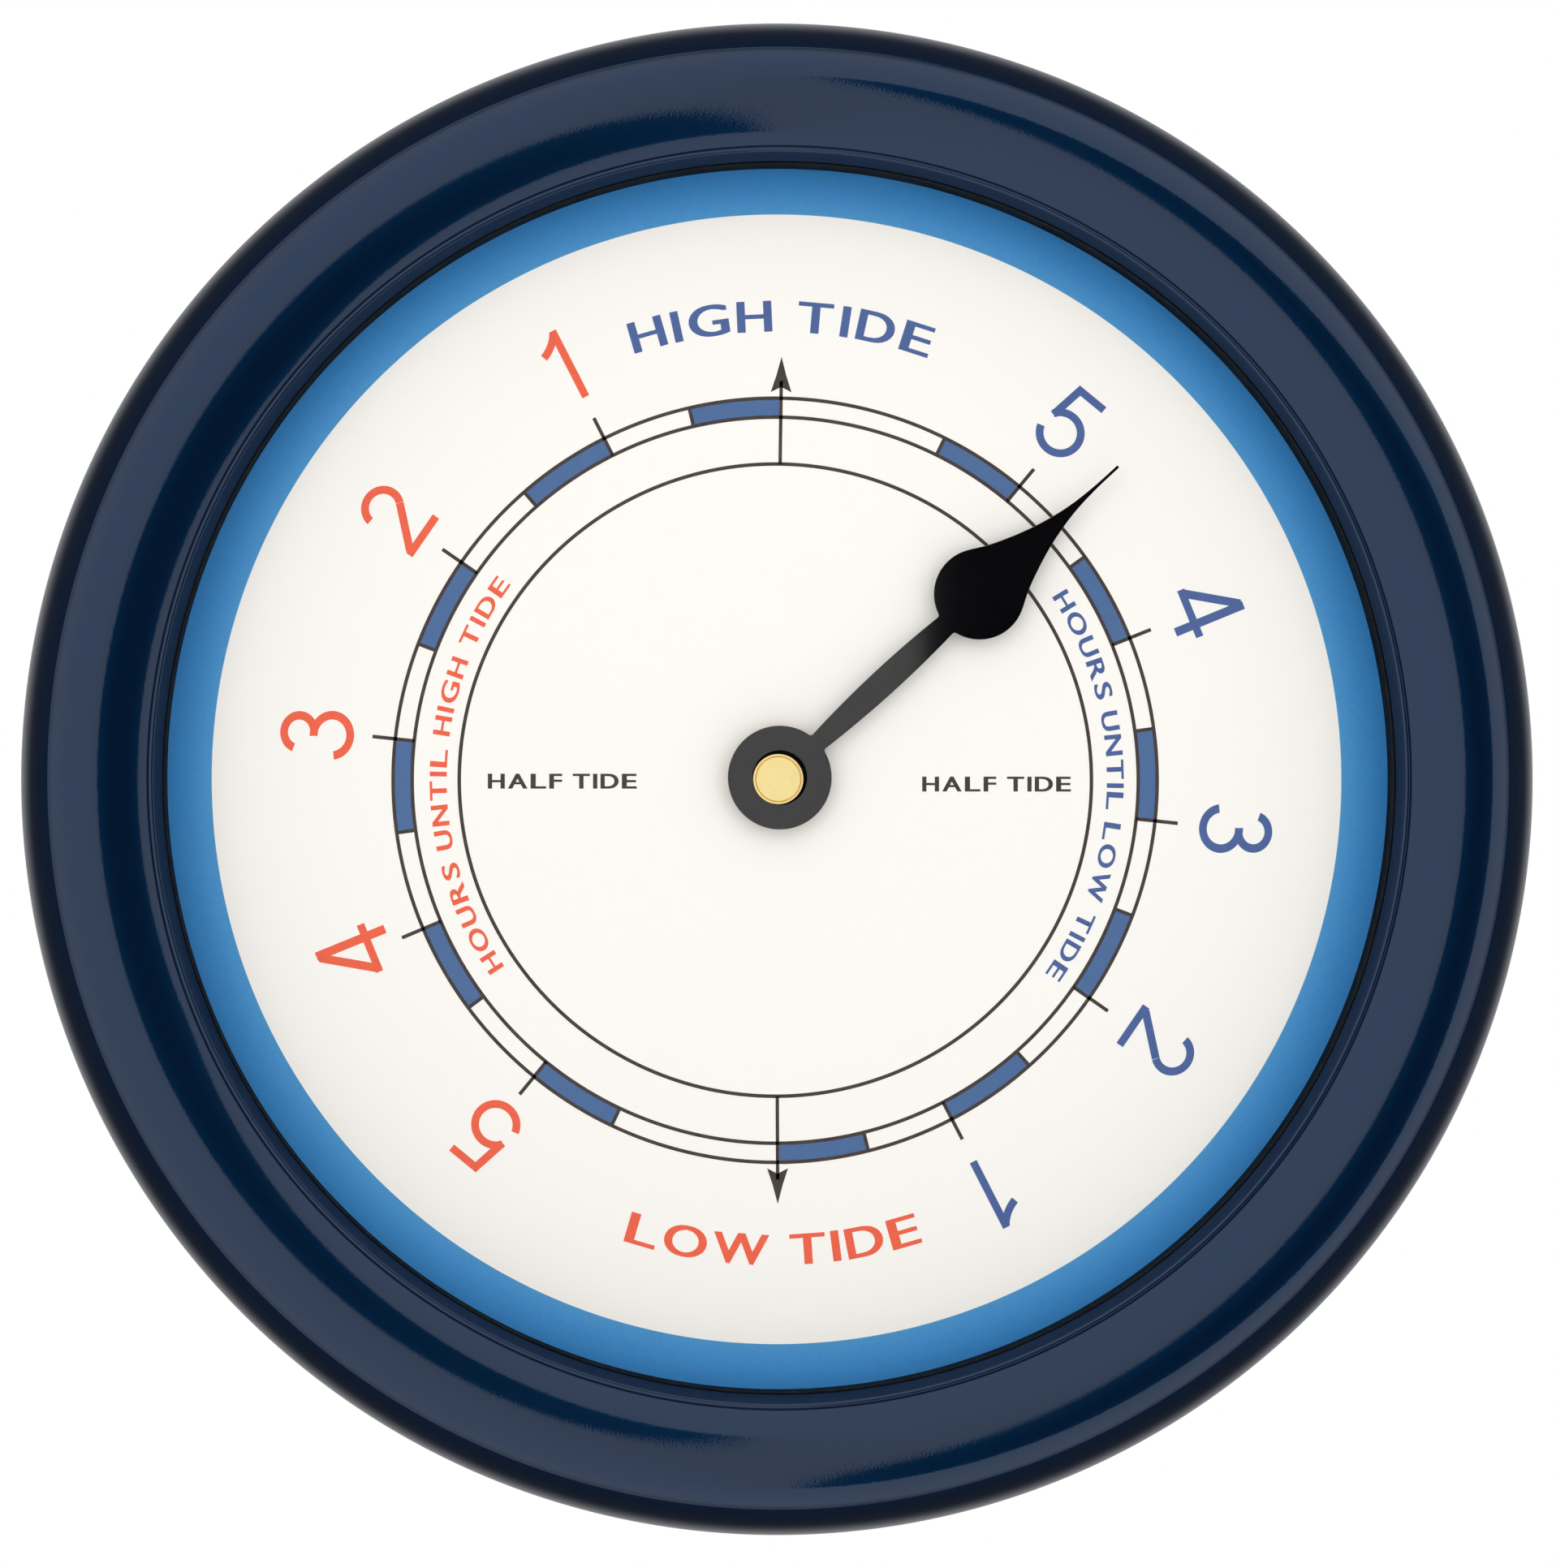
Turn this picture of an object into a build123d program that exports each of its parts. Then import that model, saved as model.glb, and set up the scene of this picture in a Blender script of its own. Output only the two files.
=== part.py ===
from build123d import *
from math import cos, radians, sin
import os

os.makedirs("parts", exist_ok=True)

# A round wall clock for the tide. Sizes are in millimetres and angles in degrees.
# The wall is the plane y = 0, X runs to the right, Z up, and the front faces -Y.
# The dial's axis is the Y axis. A name that ends in _rear or _front is a height above the wall.

# Pressed steel frame, as widths and heights of its section from the rim inwards
frame_diameter = 254.0
frame_wall = 1.0
shoulder_run = 4.8
shoulder_rise = 13.2
crease_step = 0.3
crease_drop = 3.0
outer_dome_run = 7.8
inner_dome_run = 9.0
inner_crease_drop = 3.0
bead_radius = 0.8
lip_slant = 0.9
lip_depth = 4.6
flange_width = 5.4
inside_crease_share = 0.70

# Tabs welded inside the frame, and the screws that hold the back cover to them
tab_count = 4
tab_first_angle = 45.0
tab_sweep = 11.0
tab_foot = 13.0
tab_thickness = 1.2
tab_leg = 11.0
weld_gap = 0.02
screw_radius = 1.5
screw_head_radius = 3.0
screw_head_height = 0.8
screw_head_taper = 30.0
screw_inset = 7.5
screw_length = 7.0
screw_fit = 0.3
thread_fit = 0.02

# Glass, its channel gasket and the black ring between the glass and the dial
lens_thickness = 2.0
lens_overlap = 3.9
lens_edge_bevel = 0.2
gasket_lip = 0.5
gasket_cover = 2.0
gasket_wall = 1.0
gasket_fit = 0.02
spacer_setback = 0.5
spacer_wall = 3.9

# Dial and the board behind it
dial_thickness = 0.5
dial_inset = 0.3
board_thickness = 2.5
board_margin = 1.0
dial_hole_gap = 0.3

# Moulded back cover: plate, cup that holds the dial stack, ledge, ribs, window and keyhole
cover_rear = 1.0
cover_thickness = 2.0
cover_gap = 0.6
cup_gap = 0.3
cup_wall = 2.0
ledge_width = 2.6
rib_count = 8
rib_first_angle = 22.5
rib_thickness = 1.6
rib_height = 6.0
window_gap = 0.7
window_rim = 1.6
window_rim_height = 3.0
window_corner = 4.0
keyhole_radius = 4.5
keyhole_slot_radius = 2.2
keyhole_drop = 70.0
keyhole_rise = 9.0

# Setting knob on the back of the movement
knob_radius = 5.5
knob_wall_gap = 0.4
knob_height = 1.5
knob_cap = 0.5
knob_case_gap = 0.3
knob_notches = 12
knob_notch_width = 1.0
knob_notch_depth = 0.5

# Movement case
case_wall = 1.2
case_corner = 3.0
case_front_bevel = 0.5
upper_room = 20.8
pillar_radius = 1.4
pivot_cup_depth = 0.8

# Layers of the movement from its back plate to its front plate
first_wheel_gap = 2.0
wheel_thickness = 0.8
wheel_gap = 0.8
clutch_thickness = 0.3
cannon_flange_thickness = 0.5
plate_gap = 0.2
train_plate_thickness = 1.0
minute_wheel_gap = 0.5
hour_wheel_gap = 0.6
hour_wheel_thickness = 1.0
bushing_gap = 0.6
bushing_flange_thickness = 1.0

# Teeth. The going train takes 1800 turns of the rotor to one of the centre wheel.
# The motion work takes 59 / 19 * 32 / 8 = 12.42 turns of the centre arbor to one of the hand,
# which makes one turn of the hand the 12 hours 25 minutes between two high tides.
pinion_teeth = 6
intermediate_teeth = 30
fourth_teeth = 36
third_teeth = 45
centre_teeth = 48
cannon_teeth = 19
minute_teeth = 59
minute_pinion_teeth = 8
hour_teeth = 32
rotor_module = 0.33
intermediate_module = 0.30
fourth_module = 0.26
third_module = 0.29
cannon_module = 0.20
addendum_share = 0.6
dedendum_share = 1.1
tooth_root_share = 0.50
tooth_tip_share = 0.30
tooth_sink_share = 0.9
pinion_overrun = 0.2

# Where the arbors stand, each as a direction from the arbor before it
third_direction = 40.0
fourth_direction = 40.0
intermediate_direction = -30.0
rotor_direction = -75.0
minute_direction = 180.0

# Pivots, posts and bearings
pivot_radius = 0.35
running_fit = 0.05
press_fit = 0.02
pivot_end_gap = 0.2
arbor_radius = 1.0
arbor_seat_radius = 1.25
arbor_shoulder_radius = 2.0
arbor_shoulder_height = 0.5
cannon_tube_radius = 1.45
cannon_flange_radius = 2.2
cannon_plate_fit = 0.3
clutch_radius = 2.4
minute_post_radius = 0.6
hour_pipe_radius = 2.55
pipe_bore_fit = 0.1

# Threaded bushing, washers and nut that clamp the movement to the board
bushing_wall = 1.3
bushing_flange_radius = 5.6
bushing_proud = 0.4
rubber_thickness = 0.8
rubber_radius = 9.0
nut_washer_thickness = 0.6
nut_washer_radius = 7.6
nut_height = 2.0
nut_across_flats = 11.0
nut_corner_radius = 0.6

# Plate of the train and its pillars
plate_left = 16.0
plate_right = 23.0
plate_top = 14.0
plate_bottom = 9.0
plate_corner = 2.0
plate_side_gap = 3.8
pillar_inset = 1.6

# Stepping motor
magnet_radius = 3.0
magnet_height = 3.0
magnet_gap = 1.0
stator_gap = 0.4
stator_ring = 1.1
stator_thickness = 1.0
stator_arm = 3.0
core_drop = 11.4
core_left = 22.9
core_right = 5.1
arm_drop = 5.5
bobbin_flange = 1.0
bobbin_flange_radius = 3.6
bobbin_radius = 2.1
bobbin_inset = 4.6
bobbin_fit = 0.05
winding_radius = 3.0

# Circuit board with its chip and crystal
board_width = 10.6
board_height = 26.0
board_edge_gap = 1.0
board_raise = 1.2
board_sheet = 0.8
board_lift = 2.0
chip_size = 4.2
chip_height = 1.2
chip_corner = 0.8
chip_drop = 5.0
crystal_radius = 1.0
crystal_length = 6.0
crystal_offset = 2.2
crystal_bevel_share = 0.2

# Battery of the AA size and its contacts
battery_length = 50.5
battery_radius = 7.0
battery_sleeve = 0.25
battery_nub_radius = 2.75
battery_nub_height = 1.2
battery_end_bevel = 0.5
battery_side_gap = 0.55
battery_floor_gap = 0.3
contact_room = 1.55
contact_thickness = 0.4
contact_width = 9.0
contact_reach = 8.0
contact_pad_radius = 2.4
contact_gap = 0.3
leaf_thickness = 0.3

# Hand, as seen from the front, with its brass collet
hand_angle = 47.4
hub_radius = 8.7
hub_hole_radius = 4.4
blade_thickness = 0.6
neck_root_width = 2.9
neck_middle_width = 4.5
neck_end_width = 3.2
spade_radius = 7.65
spade_centre = 45.5
tip_reach = 77.3
tip_width = 0.5
neck_fillet = 0.5
flank_shares = [
    (0.192, 0.700),
    (0.296, 0.510),
    (0.399, 0.353),
    (0.538, 0.192),
    (0.673, 0.090),
    (0.846, 0.037),
]
flank_start_share = 0.107
collet_flange_gap = 0.2
collet_flange_thickness = 0.5
collet_flange_radius = 6.0
collet_radius = 4.17
collet_proud = 1.4
collet_bevel = 0.5
collet_cap = 1.0
hand_clearance = 3.2
cut_overrun = 1.0

# Heights through the movement
case_rear = knob_wall_gap + knob_height + knob_case_gap
bay_rear = case_rear + case_wall
intermediate_rear = bay_rear + first_wheel_gap
layer_pitch = wheel_thickness + wheel_gap
fourth_rear = intermediate_rear + layer_pitch
third_rear = fourth_rear + layer_pitch
centre_rear = third_rear + layer_pitch
clutch_rear = centre_rear + wheel_thickness
cannon_rear = clutch_rear + clutch_thickness
train_plate_rear = cannon_rear + cannon_flange_thickness + plate_gap
train_plate_front = train_plate_rear + train_plate_thickness
minute_wheel_rear = train_plate_front + minute_wheel_gap
hour_wheel_rear = minute_wheel_rear + wheel_thickness + hour_wheel_gap
hour_wheel_front = hour_wheel_rear + hour_wheel_thickness
bushing_rear = hour_wheel_front + bushing_gap
bay_front = bushing_rear + bushing_flange_thickness
case_front_height = bay_front + case_wall

# Heights through the dial stack
board_rear = case_front_height + rubber_thickness
dial_rear = board_rear + board_thickness
dial_front = dial_rear + dial_thickness
nut_rear = dial_front + nut_washer_thickness
bushing_front = nut_rear + nut_height + bushing_proud
collet_rear = bushing_front + collet_flange_gap
blade_rear = collet_rear + collet_flange_thickness
blade_front = blade_rear + blade_thickness
collet_front = blade_front + collet_proud
lens_rear = collet_front + hand_clearance
gasket_rear = lens_rear - gasket_lip
lens_front = lens_rear + lens_thickness
flange_rear = lens_front + gasket_lip
flange_front = flange_rear + frame_wall
frame_depth = flange_front + lip_depth

# Radii of the frame and of what it holds
outer_radius = frame_diameter / 2
frame_inside_radius = outer_radius - frame_wall
crease_radius = outer_radius - shoulder_run
crest_radius = crease_radius - crease_step - outer_dome_run
inner_crease_radius = crest_radius - inner_dome_run
bead_inner_radius = inner_crease_radius - 2 * bead_radius
lip_radius = bead_inner_radius - lip_slant
lens_radius = lip_radius + lens_overlap
gasket_outer_radius = lens_radius + gasket_fit + gasket_wall
spacer_inner_radius = lip_radius + spacer_setback
spacer_outer_radius = spacer_inner_radius + spacer_wall
board_radius = spacer_outer_radius + board_margin
cup_inner_radius = board_radius + cup_gap
cup_outer_radius = cup_inner_radius + cup_wall
cover_radius = frame_inside_radius - cover_gap
screw_circle = frame_inside_radius - screw_inset

# Places of the arbors in the plane of the dial
third_distance = third_module * (pinion_teeth + centre_teeth) / 2
fourth_distance = fourth_module * (pinion_teeth + third_teeth) / 2
intermediate_distance = intermediate_module * (pinion_teeth + fourth_teeth) / 2
rotor_distance = rotor_module * (pinion_teeth + intermediate_teeth) / 2
minute_distance = cannon_module * (cannon_teeth + minute_teeth) / 2
hour_module = 2 * minute_distance / (minute_pinion_teeth + hour_teeth)


def beside(place, distance, direction):
    return (
        place[0] + distance * cos(radians(direction)),
        place[1] + distance * sin(radians(direction)),
    )


centre_place = (0, 0)
third_place = beside(centre_place, third_distance, third_direction)
fourth_place = beside(third_place, fourth_distance, fourth_direction)
intermediate_place = beside(fourth_place, intermediate_distance, intermediate_direction)
rotor_place = beside(intermediate_place, rotor_distance, rotor_direction)
minute_place = beside(centre_place, minute_distance, minute_direction)

# Outline of the movement case: the bay of the train and, below it, the trough of the battery
bay_width = 2 * (plate_right + plate_side_gap)
case_width = bay_width + 2 * case_wall
trough_length = battery_length + 2 * contact_room
trough_case_width = trough_length + 2 * case_wall
lower_room = board_height / 2 + board_lift + board_edge_gap
battery_outer_radius = battery_radius + battery_sleeve
trough_width = 2 * (battery_outer_radius + battery_side_gap)
case_top = upper_room + case_wall
trough_top = -lower_room - case_wall
trough_bottom = trough_top - trough_width
case_bottom = trough_bottom - case_wall
case_height = case_top - case_bottom
case_middle = (case_top + case_bottom) / 2
battery_middle = (trough_top + trough_bottom) / 2
battery_axis_height = bay_front - battery_floor_gap - battery_outer_radius
bushing_bore = hour_pipe_radius + running_fit
bushing_radius = bushing_bore + bushing_wall


def facing(height):
    return Plane.XZ.offset(height)


# The half plane of a section, where the sketch's X is the radius and its Y the height
def section_plane(direction):
    across = (cos(radians(direction)), 0, sin(radians(direction)))
    return Plane(origin=(0, 0, 0), x_dir=across, z_dir=(across[2], 0, -across[0]))


side_plane = section_plane(0)


def ring(inner, outer, rear, front):
    with BuildSketch(facing(rear)) as band:
        Circle(outer)
        Circle(inner, mode=Mode.SUBTRACT)
    extrude(band.sketch, amount=front - rear)


def disc(place, radius, rear, front, mode=Mode.ADD):
    with BuildSketch(facing(rear)) as round_face:
        with Locations(place):
            Circle(radius)
    extrude(round_face.sketch, amount=front - rear, mode=mode)


def toothed_disc(place, teeth, tooth_module, first_angle, rear, front):
    pitch = tooth_module * teeth / 2
    root = pitch - dedendum_share * tooth_module
    tip = pitch + addendum_share * tooth_module
    half_pitch = tooth_module * radians(180) / 2
    root_half = half_pitch * tooth_root_share
    tip_half = half_pitch * tooth_tip_share
    sunk = root * tooth_sink_share
    with BuildSketch(facing(rear)) as face:
        with Locations(place):
            RegularPolygon(root, teeth, major_radius=False, rotation=first_angle)
            with PolarLocations(0, teeth, start_angle=first_angle):
                Polygon(
                    (sunk, -root_half),
                    (tip, -tip_half),
                    (tip, tip_half),
                    (sunk, root_half),
                    align=None,
                )
    extrude(face.sketch, amount=front - rear)


def finish(builder, name):
    builder.part.label = name
    export_step(builder.part, "parts/" + name + ".step")


# Frame: side wall, rounded shoulder, fine step, domed rim, rolled bead, lip and turned flange
crease_height = frame_depth - crease_drop
inner_crease_height = frame_depth - inner_crease_drop
shoulder_base = crease_height - shoulder_rise
inside_crease = (
    crease_radius - frame_wall * inside_crease_share,
    crease_height - frame_wall * inside_crease_share,
)
inside_lip = (inner_crease_radius + frame_wall * inside_crease_share, inner_crease_height - frame_wall)
wall_head = (bead_inner_radius + frame_wall, inner_crease_height - frame_wall)
wall_foot = (lip_radius + frame_wall, flange_front)
flange_edge = lip_radius + flange_width
with BuildPart() as frame:
    with BuildSketch(side_plane):
        with BuildLine():
            Line((frame_inside_radius, 0), (outer_radius, 0))
            Line((outer_radius, 0), (outer_radius, shoulder_base))
            TangentArc((outer_radius, shoulder_base), (crease_radius, crease_height), tangent=(0, 1))
            Line((crease_radius, crease_height), (crease_radius - crease_step, crease_height))
            TangentArc(
                (crest_radius, frame_depth), (crease_radius - crease_step, crease_height), tangent=(1, 0)
            )
            TangentArc(
                (crest_radius, frame_depth), (inner_crease_radius, inner_crease_height), tangent=(-1, 0)
            )
            ThreePointArc(
                (inner_crease_radius, inner_crease_height),
                (inner_crease_radius - bead_radius, inner_crease_height + bead_radius),
                (bead_inner_radius, inner_crease_height),
            )
            Polyline(
                (bead_inner_radius, inner_crease_height),
                (lip_radius, flange_front),
                (lip_radius, flange_rear),
                (flange_edge, flange_rear),
                (flange_edge, flange_front),
                wall_foot,
                wall_head,
                inside_lip,
            )
            TangentArc((crest_radius, frame_depth - frame_wall), inside_lip, tangent=(-1, 0))
            TangentArc((crest_radius, frame_depth - frame_wall), inside_crease, tangent=(1, 0))
            TangentArc((frame_inside_radius, shoulder_base), inside_crease, tangent=(0, 1))
            Line((frame_inside_radius, shoulder_base), (frame_inside_radius, 0))
        make_face()
    revolve(axis=Axis.Y)
finish(frame, "frame")

# Mounting tabs: an angled strip at each quarter, with its foot against the cover plate
cover_front = cover_rear + cover_thickness
tab_outer = frame_inside_radius - weld_gap
with BuildPart() as mounting_tabs:
    for step in range(tab_count):
        with BuildSketch(section_plane(tab_first_angle + tab_sweep / 2 + step * 360 / tab_count)):
            with BuildLine():
                Polyline(
                    (tab_outer - tab_foot, cover_front),
                    (tab_outer, cover_front),
                    (tab_outer, cover_front + tab_leg),
                    (tab_outer - tab_thickness, cover_front + tab_leg),
                    (tab_outer - tab_thickness, cover_front + tab_thickness),
                    (tab_outer - tab_foot, cover_front + tab_thickness),
                    close=True,
                )
            make_face()
        revolve(axis=Axis.Y, revolution_arc=tab_sweep)
    with BuildSketch(facing(cover_front)):
        with PolarLocations(screw_circle, tab_count, start_angle=tab_first_angle):
            Circle(screw_radius + thread_fit)
    extrude(amount=tab_thickness, mode=Mode.SUBTRACT)
finish(mounting_tabs, "mounting_tabs")

# Cover screws: a domed head on the plate and a shank through the tab's foot
with BuildPart() as cover_screws:
    with BuildSketch(facing(cover_rear)):
        with PolarLocations(screw_circle, tab_count, start_angle=tab_first_angle):
            Circle(screw_radius)
    extrude(amount=screw_length)
    with BuildSketch(facing(cover_rear)):
        with PolarLocations(screw_circle, tab_count, start_angle=tab_first_angle):
            Circle(screw_head_radius)
    extrude(amount=-screw_head_height, taper=screw_head_taper)
finish(cover_screws, "cover_screws")

# Glass disc
with BuildPart() as lens:
    disc(centre_place, lens_radius, lens_rear, lens_front)
    chamfer(lens.edges().filter_by(GeomType.CIRCLE), lens_edge_bevel)
finish(lens, "lens")

# Channel gasket that wraps the edge of the glass
with BuildPart() as lens_gasket:
    ring(lens_radius - gasket_cover, gasket_outer_radius, gasket_rear, flange_rear)
    with BuildSketch(side_plane):
        with BuildLine():
            Polyline(
                (lens_radius - gasket_cover - cut_overrun, lens_rear),
                (lens_radius + gasket_fit, lens_rear),
                (lens_radius + gasket_fit, lens_front),
                (lens_radius - gasket_cover - cut_overrun, lens_front),
                close=True,
            )
        make_face()
    revolve(axis=Axis.Y, mode=Mode.SUBTRACT)
finish(lens_gasket, "lens_gasket")

# Black ring that keeps the glass off the dial
with BuildPart() as dial_spacer:
    ring(spacer_inner_radius, spacer_outer_radius, dial_front, gasket_rear)
finish(dial_spacer, "dial_spacer")

# Dial sheet
with BuildPart() as dial:
    ring(bushing_radius + dial_hole_gap, board_radius - dial_inset, dial_rear, dial_front)
finish(dial, "dial")

# Backing board
with BuildPart() as backing_board:
    ring(bushing_radius + dial_hole_gap, board_radius, board_rear, dial_rear)
finish(backing_board, "backing_board")

# Back cover: plate, cup round the dial stack, ledge under the board, ribs and a rimmed window
cup_front = lens_front
window_width = max(case_width, trough_case_width) + 2 * window_gap
window_height = case_height + 2 * window_gap
ledge_inner_radius = cup_inner_radius - ledge_width
with BuildPart() as back_cover:
    disc(centre_place, cover_radius, cover_rear, cover_front)
    ring(ledge_inner_radius, cup_outer_radius, cover_front, board_rear)
    ring(cup_inner_radius, cup_outer_radius, board_rear, cup_front)
    with BuildSketch(facing(cover_front)):
        with PolarLocations(ledge_inner_radius / 2, rib_count, start_angle=rib_first_angle):
            Rectangle(ledge_inner_radius + ledge_width, rib_thickness)
    extrude(amount=rib_height)
    with BuildSketch(facing(cover_front)):
        with Locations((0, case_middle)):
            RectangleRounded(
                window_width + 2 * window_rim, window_height + 2 * window_rim, window_corner + window_rim
            )
    extrude(amount=window_rim_height)
    with BuildSketch(facing(cover_rear)):
        with Locations((0, case_middle)):
            RectangleRounded(window_width, window_height, window_corner)
    extrude(amount=cover_thickness + rib_height + cut_overrun, mode=Mode.SUBTRACT)
    with BuildSketch(facing(cover_rear)):
        with Locations((0, keyhole_drop)):
            Circle(keyhole_radius)
        with Locations((0, keyhole_drop + keyhole_rise / 2)):
            Rectangle(2 * keyhole_slot_radius, keyhole_rise)
        with Locations((0, keyhole_drop + keyhole_rise)):
            Circle(keyhole_slot_radius)
        with PolarLocations(screw_circle, tab_count, start_angle=tab_first_angle):
            Circle(screw_radius + screw_fit)
    extrude(amount=cover_thickness, mode=Mode.SUBTRACT)
finish(back_cover, "back_cover")

# Front half of the movement case: a tray with a divider above the battery trough, and pillars
pillar_left = -plate_left + pillar_inset
pillar_right = plate_right - pillar_inset
pillar_top = plate_top - pillar_inset
pillar_bottom = -plate_bottom + pillar_inset
core_level = rotor_place[1] - core_drop
core_left_end = rotor_place[0] - core_left
core_right_end = rotor_place[0] + core_right
stator_rear = fourth_rear + wheel_thickness + stator_gap
stator_front = stator_rear + stator_thickness
circuit_rear = bay_rear + board_raise
circuit_front = circuit_rear + board_sheet
circuit_left = -bay_width / 2 + board_edge_gap
circuit_middle = (circuit_left + board_width / 2, -board_lift)
with BuildPart() as movement_case_front:
    with BuildSketch(facing(bay_rear)) as case_face:
        with Locations((0, (case_top + trough_top) / 2)):
            Rectangle(case_width, case_top - trough_top)
        with Locations((0, (trough_top + case_bottom) / 2)):
            Rectangle(trough_case_width, trough_top - case_bottom)
        fillet(case_face.vertices().group_by(Axis.Y)[0], case_corner)
        fillet(case_face.vertices().group_by(Axis.Y)[-1], case_corner)
    extrude(amount=case_front_height - bay_rear)
    front_edges = movement_case_front.faces().sort_by(Axis.Y)[0].edges()
    chamfer(front_edges, case_front_bevel)
    with BuildSketch(facing(bay_rear)):
        with Locations((0, (upper_room - lower_room) / 2)):
            RectangleRounded(bay_width, upper_room + lower_room, case_corner - case_wall)
        with Locations((0, battery_middle)):
            RectangleRounded(trough_length, trough_width, case_corner - case_wall)
    extrude(amount=bay_front - bay_rear, mode=Mode.SUBTRACT)
    disc(centre_place, bushing_radius, bay_front, case_front_height, mode=Mode.SUBTRACT)
    for across in (pillar_left, pillar_right):
        for up in (pillar_top, pillar_bottom):
            disc((across, up), pillar_radius, train_plate_front, bay_front)
    for across in (core_left_end + pillar_radius, core_right_end - pillar_radius):
        disc((across, core_level), pillar_radius, stator_front, bay_front)
    for up in (circuit_middle[1] + board_height / 3, circuit_middle[1] - board_height / 3):
        disc((circuit_left + pillar_radius, up), pillar_radius, circuit_front, bay_front)
finish(movement_case_front, "movement_case_front")

# Lid of the movement case, with a cup for each rear pivot
lid_height = case_top - trough_top
pivot_places = (third_place, fourth_place, intermediate_place, rotor_place)
with BuildPart() as movement_case_back:
    with BuildSketch(facing(case_rear)):
        with Locations((0, (case_top + trough_top) / 2)):
            RectangleRounded(case_width, lid_height, case_corner)
        Circle(arbor_radius + running_fit, mode=Mode.SUBTRACT)
    extrude(amount=case_wall)
    with BuildSketch(facing(bay_rear)):
        with Locations(pivot_places):
            Circle(pivot_radius + running_fit)
    extrude(amount=-pivot_cup_depth, mode=Mode.SUBTRACT)
finish(movement_case_back, "movement_case_back")

# Threaded bushing, which the hour pipe runs in
with BuildPart() as threaded_bushing:
    ring(bushing_bore, bushing_flange_radius, bushing_rear, bay_front)
    ring(bushing_bore, bushing_radius, bay_front, bushing_front)
finish(threaded_bushing, "threaded_bushing")

# Rubber washer between the case and the board
with BuildPart() as rubber_washer:
    ring(bushing_radius + thread_fit, rubber_radius, case_front_height, board_rear)
finish(rubber_washer, "rubber_washer")

# Washer and nut on the front of the dial
with BuildPart() as dial_washer:
    ring(bushing_radius + thread_fit, nut_washer_radius, dial_front, nut_rear)
finish(dial_washer, "dial_washer")

with BuildPart() as hex_nut:
    with BuildSketch(facing(nut_rear)) as nut_face:
        RegularPolygon(nut_across_flats / 2, 6, major_radius=False)
        fillet(nut_face.vertices(), nut_corner_radius)
        Circle(bushing_radius + thread_fit, mode=Mode.SUBTRACT)
    extrude(amount=nut_height)
finish(hex_nut, "hex_nut")

# Plate that carries the front pivots, with the post of the minute wheel
with BuildPart() as train_plate:
    with BuildSketch(facing(train_plate_rear)):
        with Locations(((plate_right - plate_left) / 2, (plate_top - plate_bottom) / 2)):
            RectangleRounded(plate_left + plate_right, plate_top + plate_bottom, plate_corner)
        with Locations(pivot_places):
            Circle(pivot_radius + running_fit, mode=Mode.SUBTRACT)
        Circle(cannon_tube_radius + cannon_plate_fit, mode=Mode.SUBTRACT)
    extrude(amount=train_plate_thickness)
    disc(minute_place, minute_post_radius, train_plate_front, bay_front)
finish(train_plate, "train_plate")

# Going train: each arbor carries a wheel and the pinion that drives the next wheel
pivot_rear = bay_rear - pivot_cup_depth + pivot_end_gap
pivot_front = train_plate_front - pivot_end_gap


def train_arbor(place, wheel_teeth, wheel_module, wheel_angle, wheel_rear, pinion_module, pinion_angle):
    wheel_front = wheel_rear + wheel_thickness
    pinion_front = wheel_front + wheel_gap + wheel_thickness + pinion_overrun
    toothed_disc(place, wheel_teeth, wheel_module, wheel_angle, wheel_rear, wheel_front)
    toothed_disc(place, pinion_teeth, pinion_module, pinion_angle, wheel_front, pinion_front)
    disc(place, pivot_radius, pivot_rear, pivot_front)


# A pinion has a tooth on the line to the next wheel, and that wheel a gap there
def gap_towards(direction, teeth):
    return direction + 180 + 180 / teeth


with BuildPart() as intermediate_wheel:
    train_arbor(
        intermediate_place,
        intermediate_teeth,
        rotor_module,
        gap_towards(rotor_direction + 180, intermediate_teeth),
        intermediate_rear,
        intermediate_module,
        intermediate_direction + 180,
    )
finish(intermediate_wheel, "intermediate_wheel")

with BuildPart() as fourth_wheel:
    train_arbor(
        fourth_place,
        fourth_teeth,
        intermediate_module,
        gap_towards(intermediate_direction + 180, fourth_teeth),
        fourth_rear,
        fourth_module,
        fourth_direction + 180,
    )
finish(fourth_wheel, "fourth_wheel")

with BuildPart() as third_wheel:
    train_arbor(
        third_place,
        third_teeth,
        fourth_module,
        gap_towards(fourth_direction + 180, third_teeth),
        third_rear,
        third_module,
        third_direction + 180,
    )
finish(third_wheel, "third_wheel")

# Centre wheel, which the clutch spring lets slip on the arbor when the hand is set
centre_front = centre_rear + wheel_thickness
with BuildPart() as centre_wheel:
    toothed_disc(
        centre_place,
        centre_teeth,
        third_module,
        gap_towards(third_direction + 180, centre_teeth),
        centre_rear,
        centre_front,
    )
    disc(centre_place, arbor_seat_radius + running_fit, centre_rear, centre_front, mode=Mode.SUBTRACT)
finish(centre_wheel, "centre_wheel")

# Rotor of the motor: a pinion on a thin arbor, and its magnet
magnet_rear = intermediate_rear + wheel_thickness + magnet_gap
magnet_front = magnet_rear + magnet_height
with BuildPart() as rotor_pinion:
    toothed_disc(
        rotor_place,
        pinion_teeth,
        rotor_module,
        rotor_direction + 180,
        intermediate_rear - pinion_overrun,
        magnet_rear,
    )
    disc(rotor_place, pivot_radius, pivot_rear, pivot_front)
finish(rotor_pinion, "rotor_pinion")

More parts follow.
